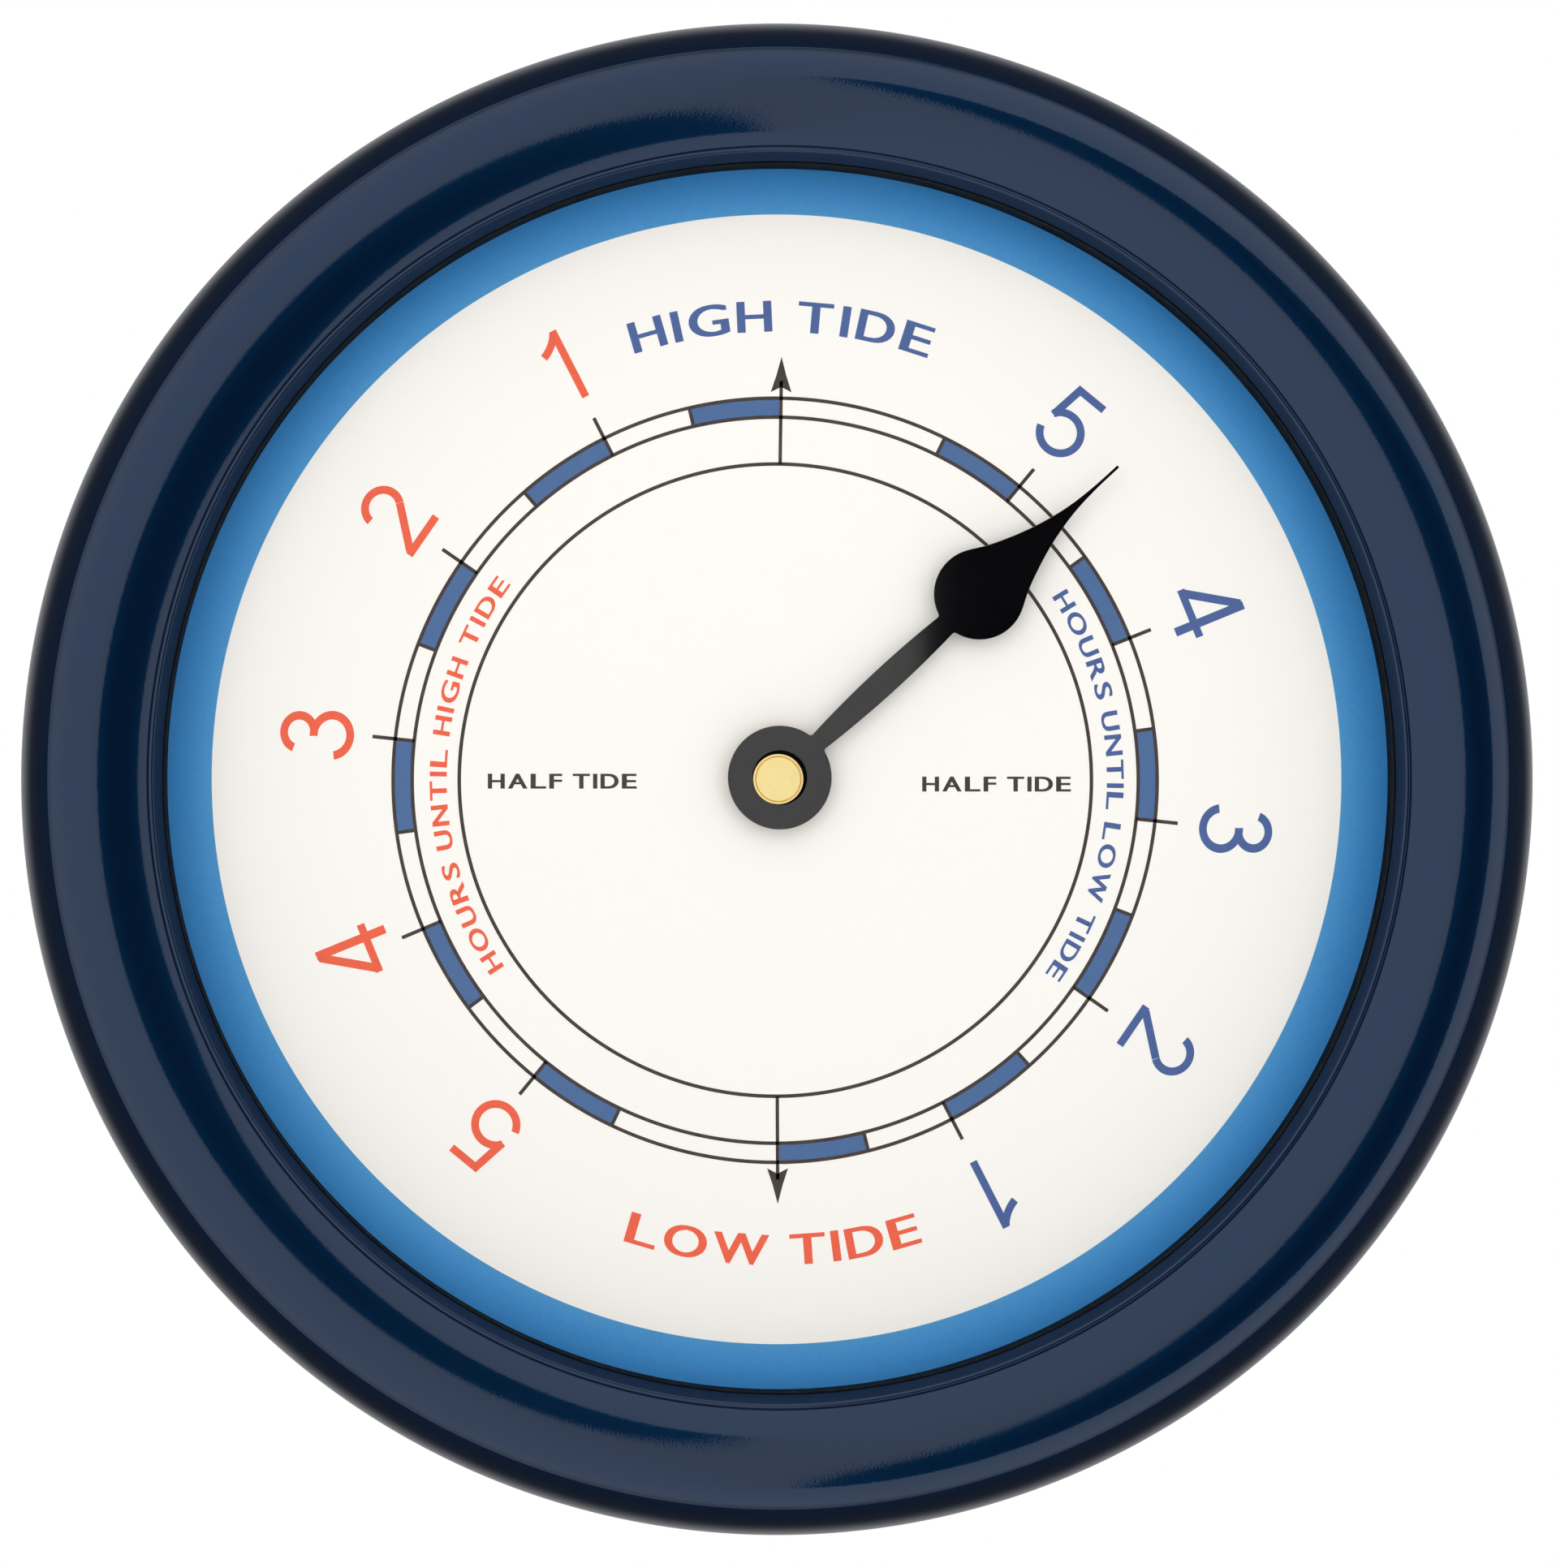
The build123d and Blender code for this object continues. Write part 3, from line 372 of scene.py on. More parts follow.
def mouldedPlastic(name, colour, roughness, scale, depth, drift=0.12, shine=0.5):
    material, tree, shader = newMaterial(name)
    place = objectPlace(tree)
    grain = grained(tree, place, scale / mouldedLook["swellPart"], scale, mouldedLook["grainShare"])
    setShader(tree, shader, {
        "Base Color": drifted(tree, place, colour, mouldedLook["driftScale"], drift),
        "Roughness": unevenRoughness(tree, grain["Mask"], roughness, mouldedLook),
        "Specular IOR Level": shine,
        "Normal": bumped(tree, grain["Height"], depth),
    })
    return material


boardLook = {
    "dark": rgb(116, 82, 54), "light": rgb(160, 122, 84), "strandScale": 700.0, "strandRange": (0.3, 0.7),
    "roughness": 0.85, "depth": 0.00006,
}


def pressedBoard():
    material, tree, shader = newMaterial("pressedBoard")
    strands = noise(tree, objectPlace(tree), boardLook["strandScale"], 6.0, Roughness=0.75, Distortion=1.2)
    shade = ease(tree, strands, *boardLook["strandRange"])
    setShader(tree, shader, {
        "Base Color": mixColour(tree, shade, boardLook["dark"], boardLook["light"]),
        "Roughness": boardLook["roughness"],
        "Normal": bumped(tree, strands, boardLook["depth"]),
    })
    return material


# after the colour: roughness, grain or rings per metre, and their depth in metres
finishes = {
    "frame": navyPaint(),
    "steel": castMetal("zincPlate", rgb(176, 178, 182), 0.32, 2200.0, 0.000006),
    "glass": clearGlass(),
    "black_rubber": mouldedPlastic("blackRubber", rgb(8, 8, 9), 0.8, 2600.0, 0.00001, shine=0.12),
    "dial_white": printedDial(),
    "hardboard": pressedBoard(),
    "black_plastic": mouldedPlastic("blackPlastic", rgb(38, 38, 40), 0.36, 1100.0, 0.00016, drift=0.2),
    "natural_plastic": mouldedPlastic("naturalPlastic", rgb(226, 223, 210), 0.4, 1800.0, 0.00001, drift=0.05),
    "hand_brass": turnedMetal("polishedBrass", rgb(255, 231, 158), 0.25, 5200.0, 0.0000006, metallic=0.2),
    "brass": turnedMetal("turnedBrass", rgb(228, 190, 112), 0.3, 5200.0, 0.0000016),
    "copper": castMetal("enamelWire", rgb(186, 104, 52), 0.3, 3000.0, 0.00001),
    "board_green": mouldedPlastic("solderMask", rgb(30, 106, 62), 0.25, 1200.0, 0.000006, drift=0.25),
    "magnet": castMetal("sinteredMagnet", rgb(74, 74, 78), 0.5, 3000.0, 0.00001),
    "tin": castMetal("tinPlate", rgb(196, 196, 198), 0.28, 1800.0, 0.000004),
    "sleeve": mouldedPlastic("shrinkSleeve", rgb(52, 56, 62), 0.22, 400.0, 0.00001, drift=0.1),
    "hand_black": satinBlack(),
}
inkFinishes = {name: printInk(name, colour) for name, colour in inks.items()}
slotNames = {name: node.material_slots[0].material.name.split(".")[0] for name, node in nodes.items()}
for node in nodes.values():
    for slot in node.material_slots:
        slot.material = finishes[slot.material.name.split(".")[0]]
print("finishes on the CAD nodes")


def addObject(name, bm, material):
    mesh = bpy.data.meshes.new(name)
    bm.to_mesh(mesh)
    bm.free()
    mesh.materials.append(material)
    made = bpy.data.objects.new(name, mesh)
    bpy.context.scene.collection.objects.link(made)
    return made


def newPiece(name, bm, material, body, sharpAngle=35, stands=()):
    bmesh.ops.remove_doubles(bm, verts=bm.verts[:], dist=mergeDistance)
    bmesh.ops.recalc_face_normals(bm, faces=bm.faces[:])
    for face in bm.faces:
        face.smooth = True
    for edge in bm.edges:
        edge.smooth = edge.calc_face_angle(turn) < math.radians(sharpAngle)
    piece = addObject(name, bm, material)
    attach(piece, body)
    if stands:
        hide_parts(*stands)


# A section is traced in the XY plane, where X is the radius and -Y the height above the wall
def startTrace(bm, radius, height):
    return bm.verts.new((radius * mm, -height * mm, 0))


def lineTo(bm, last, radius, height):
    vert = bmesh.ops.extrude_vert_indiv(bm, verts=[last])["verts"][0]
    vert.co = (radius * mm, -height * mm, 0)
    return vert


def linesTo(bm, last, places):
    for radius, height in places:
        last = lineTo(bm, last, radius, height)
    return last


def arcTo(bm, last, tangent, radius, height, steps):
    # an arc of less than half a turn that leaves along tangent and ends at radius, height
    begin = last.co.copy()
    end = Vector((radius * mm, -height * mm, 0))
    along = Vector((tangent[0], -tangent[1], 0)).normalized()
    side = Vector((-along.y, along.x, 0))
    span = end - begin
    reach = span.length_squared / (2 * span.dot(side))
    angle = math.copysign(2 * math.asin(min(1.0, span.length / (2 * abs(reach)))), reach)
    made = bmesh.ops.spin(
        bm, geom=[last], cent=begin + side * reach, axis=(0, 0, 1), angle=angle, steps=steps
    )
    vert = [item for item in made["geom_last"] if isinstance(item, bmesh.types.BMVert)][0]
    vert.co = end
    return vert


def arcFrom(bm, last, start, tangent, end, steps):
    # traced from its start back to the last vertex, at end, so that tangent holds at the start
    begin = startTrace(bm, *start)
    join = arcTo(bm, begin, tangent, *end, steps)
    bmesh.ops.pointmerge(bm, verts=[join, last], merge_co=join.co)
    return begin


def spinAll(bm, steps):
    geom = bm.verts[:] + bm.edges[:]
    bmesh.ops.spin(bm, geom=geom, cent=(0, 0, 0), axis=(0, 1, 0), angle=turn, steps=steps, use_merge=True)


# pressed rim, as in the CAD but with fine steps, a rolled bead and softened creases
# sizes are millimetres, and pairs are a radius and a height
rim = {
    "inside": 126.0, "outer": 127.0, "wall": 1.0, "shoulderBase": 23.3, "crease": (121.15, 37.2),
    "creaseStep": 0.15, "crest": (114.6, 39.5), "innerCrease": (104.75, 36.5),
    "beadCrest": (104.15, 36.95), "flank": (103.75, 36.77), "hem": (102.4, 35.25),
    "flangeRear": 33.9, "flangeEdge": 108.0, "flangeRoot": 0.2,
    "creaseShare": 0.7,  # how far the inner face of a crease lies from the outer one, in walls
    "shoulderSteps": 22, "domeSteps": 16, "beadSteps": 8, "innerSteps": 10, "innerShoulderSteps": 12,
    "steps": 384,
}


def pressedRim():
    bm = bmesh.new()
    wall = rim["wall"]
    back = rim["creaseShare"] * wall
    creaseR, creaseH = rim["crease"]
    crestR, crestH = rim["crest"]
    innerR, innerH = rim["innerCrease"]
    domeEdge = (creaseR - rim["creaseStep"], creaseH)
    flangeFront = rim["flangeRear"] + wall
    innerEdge = (innerR + back, innerH - wall)
    creaseBack = (creaseR - back, creaseH - back)
    first = startTrace(bm, rim["inside"], 0)
    last = linesTo(bm, first, [(rim["outer"], 0), (rim["outer"], rim["shoulderBase"])])
    last = arcTo(bm, last, (0, 1), creaseR, creaseH, rim["shoulderSteps"])
    last = lineTo(bm, last, *domeEdge)
    crest = arcFrom(bm, last, rim["crest"], (1, 0), domeEdge, rim["domeSteps"])
    last = arcTo(bm, crest, (-1, 0), innerR, innerH, rim["domeSteps"])
    beadTop = arcFrom(bm, last, rim["beadCrest"], (1, 0), rim["innerCrease"], rim["beadSteps"])
    last = arcTo(bm, beadTop, (-1, 0), *rim["flank"], rim["beadSteps"])
    last = linesTo(bm, last, [
        rim["hem"], (rim["hem"][0], rim["flangeRear"]), (rim["flangeEdge"], rim["flangeRear"]),
        (rim["flangeEdge"], flangeFront), (rim["flank"][0] + rim["flangeRoot"], flangeFront), innerEdge,
    ])
    # the inner face
    crest = arcFrom(bm, last, (crestR, crestH - wall), (-1, 0), innerEdge, rim["innerSteps"])
    last = arcTo(bm, crest, (1, 0), *creaseBack, rim["innerSteps"])
    base = (rim["inside"], rim["shoulderBase"])
    last = arcFrom(bm, last, base, (0, 1), creaseBack, rim["innerShoulderSteps"])
    bm.edges.new((last, first))
    spinAll(bm, rim["steps"])
    newPiece("rim_shell", bm, finishes["frame"], "clock", sharpAngle=28, stands=("frame",))


# rubber channel round the glass, with a lip that shows inside the bead
channel = {
    "inner": 102.1, "outer": 107.52, "glass": 106.52, "glassRear": 31.38, "glassFront": 33.42, "rear": 30.9,
    "rearLip": 104.5, "tip": 35.15, "chamfer": 0.1, "hemGap": 0.02, "steps": 256,
}


def glassChannel():
    bm = bmesh.new()
    inner, outer, tip, chamfer = (channel[key] for key in ("inner", "outer", "tip", "chamfer"))
    hem = rim["hem"][0]
    first = startTrace(bm, channel["rearLip"], channel["rear"])
    last = linesTo(bm, first, [
        (outer, channel["rear"]), (outer, rim["flangeRear"]), (hem - channel["hemGap"], rim["flangeRear"]),
        (hem - channel["hemGap"], tip - chamfer), (hem - chamfer, tip), (inner + chamfer, tip),
        (inner, tip - chamfer), (inner, channel["glassFront"]), (channel["glass"], channel["glassFront"]),
        (channel["glass"], channel["glassRear"]), (channel["rearLip"], channel["glassRear"]),
    ])
    bm.edges.new((last, first))
    spinAll(bm, channel["steps"])
    newPiece(
        "glass_channel", bm, finishes["black_rubber"], "clock", sharpAngle=30,
        stands=("lens_gasket",),
    )


# black ring between the glass and the dial
darkRing = {"inner": 102.68, "outer": 107.0, "rear": 22.5, "front": 30.9, "steps": 256}


def ringBehindGlass():
    bm = bmesh.new()
    inner, outer, rear, front = (darkRing[key] for key in ("inner", "outer", "rear", "front"))
    first = startTrace(bm, inner, rear)
    last = linesTo(bm, first, [(outer, rear), (outer, front), (inner, front)])
    bm.edges.new((last, first))
    spinAll(bm, darkRing["steps"])
    newPiece(
        "dark_ring", bm, finishes["black_rubber"], "clock", sharpAngle=30,
        stands=("dial_spacer",),
    )


pressedRim()
glassChannel()
ringBehindGlass()
print("rim made")

# cap of the hand: a turned brass button with a bright bevel, a little to the lower left in its hole
cap = {
    "flange": 6.0, "base": 25.7, "shelf": 26.19, "neck": 3.9, "collar": 26.85, "radius": 4.2, "top": 28.2,
    "bevel": 0.2, "bevelSteps": 6, "face": 3.62, "groove": 0.15, "depth": 0.45, "offset": (-0.28, -0.28),
    "hole": 4.6, "holeGrowth": 1.03, "steps": 128,
}


def handCap():
    bm = bmesh.new()
    radius, top, bevel, face, groove = (cap[key] for key in ("radius", "top", "bevel", "face", "groove"))
    last = linesTo(bm, startTrace(bm, 0, cap["shelf"]), [
        (cap["neck"], cap["shelf"]), (cap["neck"], cap["collar"]), (radius, cap["collar"]),
        (radius, top - bevel),
    ])
    last = arcTo(bm, last, (0, 1), radius - bevel, top, cap["bevelSteps"])
    linesTo(bm, last, [(face + 2 * groove, top), (face + groove, top - cap["depth"]), (face, top), (0, top)])
    spinAll(bm, cap["steps"])
    x, z = cap["offset"]
    bmesh.ops.translate(bm, vec=(x * mm, 0, z * mm), verts=bm.verts[:])
    newPiece(
        "hand_cap", bm, finishes["hand_brass"], "tide_hand", sharpAngle=25, stands=("hand_collet",)
    )
    # flange under the blade, coloured black as painted shade, so that the gap round the cap looks dark
    bm = bmesh.new()
    linesTo(bm, startTrace(bm, 0, cap["base"]), [
        (cap["flange"], cap["base"]), (cap["flange"], cap["shelf"]), (0, cap["shelf"]),
    ])
    spinAll(bm, cap["steps"])
    newPiece("hand_flange_painted_shade", bm, finishes["black_rubber"], "tide_hand", sharpAngle=25)


# rounded edges: a merged copy of a CAD piece with its flat faces joined and its edges bevelled
softEdges = {
    "hand_blade": ("tide_hand", 0.1), "back_cover": ("clock", 0.3), "movement_case_back": ("clock", 0.25),
    "setting_knob": ("setting_arbor", 0.15), "hex_nut": ("clock", 0.15),
}
# merge is in millimetres, and the angles are degrees
softening = {"merge": 0.001, "flatAngle": 0.5, "edgeAngle": 40, "segments": 2, "sharpAngle": 20}


def softCopy(name, body, width):
    bm = bmesh.new()
    bm.from_mesh(nodes[name].data)
    bmesh.ops.remove_doubles(bm, verts=bm.verts[:], dist=softening["merge"] * mm)
    flat = math.radians(softening["flatAngle"])
    bmesh.ops.dissolve_limit(bm, angle_limit=flat, verts=bm.verts[:], edges=bm.edges[:])
    if name == "hand_blade":
        # the hole is a little wide, so a dark crescent shows beside the cap, over the flange that is coloured
        # black as painted shade
        hole = [vert for vert in bm.verts if math.hypot(vert.co.x, vert.co.z) < cap["hole"] * mm]
        bmesh.ops.scale(bm, vec=(cap["holeGrowth"], 1, cap["holeGrowth"]), verts=hole)
    least = math.radians(softening["edgeAngle"])
    edges = [edge for edge in bm.edges if len(edge.link_faces) == 2 and edge.calc_face_angle(0) > least]
    bmesh.ops.bevel(
        bm, geom=edges, offset=width * mm, offset_type="OFFSET", segments=softening["segments"], profile=0.5,
        affect="EDGES", material=-1, clamp_overlap=False,
    )
    bmesh.ops.triangulate(bm, faces=bm.faces[:])
    slotName = slotNames[name]
    newPiece(
        "soft_" + name, bm, finishes[slotName], body, sharpAngle=softening["sharpAngle"],
        stands=(name,),
    )


handCap()
for name, (body, width) in softEdges.items():
    softCopy(name, body, width)
print("hand and rounded pieces made")

# cross recess screws of the back cover
# twist is how the first slot stands and what each next one adds, in radians
screw = {
    "count": 4, "ring": 118.5, "firstAngle": 45, "twist": (0.6, 1.1), "shank": 1.4, "end": 8.0,
    "head": 3.0, "seat": 1.0, "side": 0.75, "top": 0.2, "flat": 1.7, "headSteps": 6,
    "arm": 1.25, "slot": 0.3, "floor": 0.85, "taper": 0.7, "steps": 32,
}


def crossLoop(bm, height, share):
    # a cross of five squares, from a grid of nine without its corners
    matrix = Matrix.Translation((0, 0, height * mm))
    made = bmesh.ops.create_grid(bm, x_segments=3, y_segments=3, size=1, matrix=matrix)["verts"]
    faces = list({face for vert in made for face in vert.link_faces})
    far = 0.5
    middles = {face: face.calc_center_median() for face in faces}
    corners = [face for face in faces if abs(middles[face].x) > far and abs(middles[face].y) > far]
    bmesh.ops.delete(bm, geom=corners, context="FACES")
    made = [vert for vert in made if vert.is_valid]
    for vert in made:
        for axis in (0, 1):
            reach = screw["arm"] if abs(vert.co[axis]) > far else screw["slot"]
            vert.co[axis] = math.copysign(reach * share * mm, vert.co[axis])
    faces = list({face for vert in made for face in vert.link_faces})
    return faces, [edge for vert in made for edge in vert.link_edges if len(edge.link_faces) == 1]


def crossScrews():
    one = bmesh.new()
    # traced like the rim's section, then turned so that the head is up
    last = linesTo(one, startTrace(one, 0, screw["end"]), [
        (screw["shank"], screw["end"]), (screw["shank"], screw["seat"]), (screw["head"], screw["seat"]),
        (screw["head"], screw["side"]),
    ])
    arcTo(one, last, (0, -1), screw["flat"], screw["top"], screw["headSteps"])
    spinAll(one, screw["steps"])
    bmesh.ops.remove_doubles(one, verts=one.verts[:], dist=mergeDistance)
    bmesh.ops.rotate(one, cent=(0, 0, 0), matrix=Matrix.Rotation(turn / 4, 3, "X"), verts=one.verts[:])
    ring = [edge for edge in one.edges if len(edge.link_faces) == 1]
    faces, mouth = crossLoop(one, -screw["top"], 1)
    bmesh.ops.delete(one, geom=faces, context="FACES_ONLY")
    bmesh.ops.bridge_loops(one, edges=list(set(ring + mouth)))
    mouth = [edge for edge in set(mouth) if edge.is_valid]
    faces, base = crossLoop(one, -screw["floor"], screw["taper"])
    bmesh.ops.bridge_loops(one, edges=list(set(mouth + base)))
    mesh = bpy.data.meshes.new("screw")
    one.to_mesh(mesh)
    one.free()
    bm = bmesh.new()
    firstTwist, nextTwist = screw["twist"]
    for index in range(screw["count"]):
        angle = math.radians(screw["firstAngle"] + 360 / screw["count"] * index)
        before = set(bm.verts)
        bm.from_mesh(mesh)
        fresh = [vert for vert in bm.verts if vert not in before]
        x, z = (screw["ring"] * mm * share for share in (math.sin(angle), math.cos(angle)))
        place = Matrix.Translation((x, 0, z))
        heading = Matrix.Rotation(-turn / 4, 4, "X") @ Matrix.Rotation(firstTwist + nextTwist * index, 4, "Z")
        bmesh.ops.transform(bm, matrix=place @ heading, verts=fresh)
    bpy.data.meshes.remove(mesh)
    newPiece("cross_screws", bm, finishes["steel"], "clock", sharpAngle=30, stands=("cover_screws",))


# raised marks on the movement's lid: battery poles and arrows round the setting knob
marks = {
    "rear": 2.05, "root": 2.3, "pole": (21.0, -12.8), "size": 3.6, "bar": 0.8, "bevel": 0.08,
    "radius": 9.0, "sweep": 80, "steps": 20, "overlap": 0.2, "thin": 0.7,  # arrows; thin is a share of bar
    "head": 2.2, "headShift": 0.27, "lean": 0.6, "setBack": 0.08,  # their heads, with angles in radians
    "paint": rgb(206, 206, 202),
}


def markBar(bm, x, z, wide, high, turned=0.0):
    depth = marks["root"] - marks["rear"]
    place = Matrix.Translation((x * mm, -(marks["rear"] + depth / 2) * mm, z * mm))
    heading = Matrix.Rotation(turned, 4, "Y")
    size = Matrix.Diagonal((wide * mm, depth * mm, high * mm, 1))
    made = bmesh.ops.create_cube(bm, size=1, matrix=place @ heading @ size)
    edges = list({edge for vert in made["verts"] for edge in vert.link_edges})
    bmesh.ops.bevel(
        bm, geom=edges, offset=marks["bevel"] * mm, segments=2, profile=0.5, affect="EDGES", material=-1
    )


def lidMarks():
    bm = bmesh.new()
    x, z = marks["pole"]
    markBar(bm, x, z, marks["size"], marks["bar"])
    markBar(bm, x, z, marks["bar"], marks["size"])
    markBar(bm, -x, z, marks["size"], marks["bar"])
    radius, steps = marks["radius"], marks["steps"]
    sweep = math.radians(marks["sweep"])
    thin = marks["bar"] * marks["thin"]
    for middle in (90, 270):
        # an arc on each side of the knob, ending in an arrow head
        first = math.radians(middle) - sweep / 2
        for step in range(steps):
            angle = first + sweep * (step + 0.5) / steps
            long = radius * sweep / steps + marks["overlap"]
            markBar(bm, radius * math.sin(angle), radius * math.cos(angle), long, thin, angle)
        # the head's two barbs lean back from the last bar
        last = first + sweep
        tip = last - marks["setBack"]
        for lean in (marks["lean"], -marks["lean"]):
            reach = radius - math.copysign(marks["head"] * marks["headShift"], lean)
            markBar(bm, reach * math.sin(tip), reach * math.cos(tip), marks["head"], thin, last - lean)
    paintOnMarks = printInk("markPaint", marks["paint"])
    newPiece("lid_marks", bm, paintOnMarks, "clock", sharpAngle=30)


# low rings moulded on the back cover
rings = {"radii": (62.0, 92.0, 113.0), "width": 1.6, "root": 1.05, "rear": 0.65, "steps": 256}


def coverRings():
    bm = bmesh.new()
    foot, ridge = rings["width"] / 2, rings["width"] / 4
    root, rear = rings["root"], rings["rear"]
    for radius in rings["radii"]:
        first = startTrace(bm, radius - foot, root)
        last = linesTo(bm, first, [(radius - ridge, rear), (radius + ridge, rear), (radius + foot, root)])
        bm.edges.new((last, first))
    spinAll(bm, rings["steps"])
    newPiece("cover_rings", bm, finishes["black_plastic"], "clock", sharpAngle=50)


crossScrews()
lidMarks()
coverRings()
print("screws and marks made")

# print on the dial
ink = {
    "low": 22.5, "high": 22.53, "line": 0.60, "bandOuter": 64.3, "bandInner": 61.1, "innerCircle": 53.2,
    "tickEnd": 68.15, "hourFirst": 27.1, "hourStep": 28.37, "steps": 240, "segmentSteps": 10,
    "arcSteps": 6, "arcStep": 6,  # a numeral's arc has at least arcSteps, of arcStep degrees at least
}
inkDepth = ink["high"] - ink["low"]
inkMiddle = (ink["high"] + ink["low"]) / 2


def onDial(angle, radius, outward=True):
    # local X to the right, Y up and Z towards the viewer, on the dial at angle clockwise from the top
    theta = math.radians(angle)
    out = Vector((math.sin(theta), 0, math.cos(theta)))
    along = Vector((math.cos(theta), 0, -math.sin(theta)))
    x, z = dialPrint["inkCentre"]
    spot = Vector((x, 0, z)) + out * radius * mm
    if not outward:
        out, along = -out, -along
    matrix = Matrix((along, out, (0, -1, 0))).transposed().to_4x4()
    matrix.translation = spot
    return matrix


def addBar(bm, begin, end, width, place, lift=0.0):
    # a flat bar between two points in millimetres, in the plane of the print
    begin, end = Vector((*begin, 0)), Vector((*end, 0))
    span = end - begin
    size = Matrix.Diagonal((span.length * mm, width * mm, inkDepth * mm, 1))
    heading = Matrix.Rotation(math.atan2(span.y, span.x), 4, "Z")
    middle = Matrix.Translation((begin + end) / 2 * mm + Vector((0, 0, (inkMiddle + lift) * mm)))
    made = bmesh.ops.create_cube(bm, size=1, matrix=middle @ heading @ size)
    bmesh.ops.transform(bm, matrix=place, verts=made["verts"])


def addArc(bm, centre, radius, width, first, sweep, place, steps=None, lift=0.0):
    # a flat ring or part of one, from the angle first (counter-clockwise from X) through sweep degrees
    steps = steps or max(ink["arcSteps"], int(abs(sweep) / ink["arcStep"]))
    full = abs(sweep) >= 360
    spot = Vector((*centre, 0)) * mm
    level = Matrix.Translation(spot + Vector((0, 0, (inkMiddle + lift) * mm)))
    head = Matrix.Rotation(math.radians(first), 4, "Z") @ Matrix.Translation((radius * mm, 0, 0))
    stand = Matrix.Rotation(turn / 4, 4, "X")
    squareUp = Matrix.Diagonal((width * mm, inkDepth * mm, 1, 1))
    before = set(bm.verts)
    matrix = level @ head @ stand @ squareUp
    made = bmesh.ops.create_grid(bm, x_segments=1, y_segments=1, size=0.5, matrix=matrix)
    edges = list({edge for vert in made["verts"] for edge in vert.link_edges})
    faces = list({face for vert in made["verts"] for face in vert.link_faces})
    if full:
        bmesh.ops.delete(bm, geom=faces, context="FACES_ONLY")
        faces = []
    bmesh.ops.spin(
        bm, geom=made["verts"] + edges + faces, cent=spot, axis=(0, 0, 1), angle=math.radians(sweep),
        steps=steps, use_merge=full,
    )
    fresh = [vert for vert in bm.verts if vert not in before]
    bmesh.ops.transform(bm, matrix=place, verts=fresh)


facingDial = onDial(0, 0)


def dialRings():
    bm = bmesh.new()
    for radius in (ink["bandOuter"], ink["bandInner"], ink["innerCircle"]):
        addArc(bm, (0, 0), radius, ink["line"], 0, 360, facingDial, ink["steps"])
    newPiece("dial_rings", bm, inkFinishes["inkDark"], "clock")


# ticks clockwise from the top, each with the sweep of the segment before it; the print isn't quite even
ticks = [
    (39.7, 13.4), (68.14, 14.0), (96.16, 13.9), (124.83, 14.0), (152.57, 14.15),
    (219.16, 13.75), (247.08, 13.65), (276.12, 14.1), (304.65, 13.85), (333.3, 14.5),
]
# the arrows at high and low tide are a little askew, with their segments beside them
arrow = {
    "angles": (0.78, 179.74), "sweeps": (13.9, 13.75), "shaft": 0.58, "overlap": 1.0,
    "base": 65.3, "notch": 66.2, "half": 1.76, "shoulder": (0.84, 68.1), "tip": 71.3,
}
segmentSpans = ticks + list(zip(arrow["angles"], arrow["sweeps"]))


def dialTicks():
    bm = bmesh.new()
    half = ink["line"] / 2
    for angle, _ in ticks:
        addBar(bm, (0, ink["bandInner"]), (0, ink["tickEnd"]), ink["line"], onDial(angle, 0))
    for angle, sweep in segmentSpans:
        ends = (0, ink["bandInner"] + half), (0, ink["bandOuter"] - half)
        addBar(bm, *ends, ink["line"], onDial(angle - sweep, 0))
    newPiece("dial_ticks", bm, inkFinishes["inkDark"], "clock")


def dialSegments():
    bm = bmesh.new()
    middle = (ink["bandOuter"] + ink["bandInner"]) / 2
    width = ink["bandOuter"] - ink["bandInner"] - ink["line"]
    inset = math.degrees(ink["line"] / 2 / middle)
    for angle, sweep in segmentSpans:
        first = 90 - angle + inset
        addArc(bm, (0, 0), middle, width, first, sweep - 2 * inset, facingDial, ink["segmentSteps"])
    newPiece("dial_segments", bm, inkFinishes["inkBand"], "clock")


def dialArrows():
    bm = bmesh.new()
    sideX, sideY = arrow["shoulder"]
    outline = [
        (0, arrow["notch"]), (arrow["half"], arrow["base"]), (sideX, sideY),
        (0, arrow["tip"]), (-sideX, sideY), (-arrow["half"], arrow["base"]),
    ]
    for angle in arrow["angles"]:
        place = onDial(angle, 0)
        shaftEnd = arrow["notch"] + arrow["overlap"]
        addBar(bm, (0, ink["innerCircle"]), (0, shaftEnd), arrow["shaft"], place)
        face = bm.faces.new([bm.verts.new((x * mm, y * mm, ink["low"] * mm)) for x, y in outline])
        made = bmesh.ops.extrude_face_region(bm, geom=[face])
        top = [item for item in made["geom"] if isinstance(item, bmesh.types.BMVert)]
        bmesh.ops.translate(bm, vec=(0, 0, inkDepth * mm), verts=top)
        bmesh.ops.transform(bm, matrix=place, verts=list(face.verts) + top)
    newPiece("dial_arrows", bm, inkFinishes["inkDark"], "clock")


dialRings()
dialTicks()
dialSegments()
dialArrows()

# numerals from plain strokes, in shares of their height; each stroke lies a hair above the one before
numeral = {
    "height": 12.4, "stroke": 0.105, "radius": 78.1, "lift": 0.006,
    "widths": {1: 1.0, 2: 1.06, 3: 1.105, 4: 1.13, 5: 1.02},
}
# how far each numeral is printed from its place, clockwise and outwards
numeralShifts = {
    "numerals_until_low": {
        1: (-1.04, 0.4), 2: (0.2, 0.47), 3: (0.36, -0.1), 4: (0.69, -0.08), 5: (0.0, -0.3),
    },
    "numerals_until_high": {
        1: (0.16, 0.07), 2: (0.32, -0.39), 3: (-0.33, -0.68), 4: (-0.13, -1.67), 5: (-0.32, -1.4),
    },
}
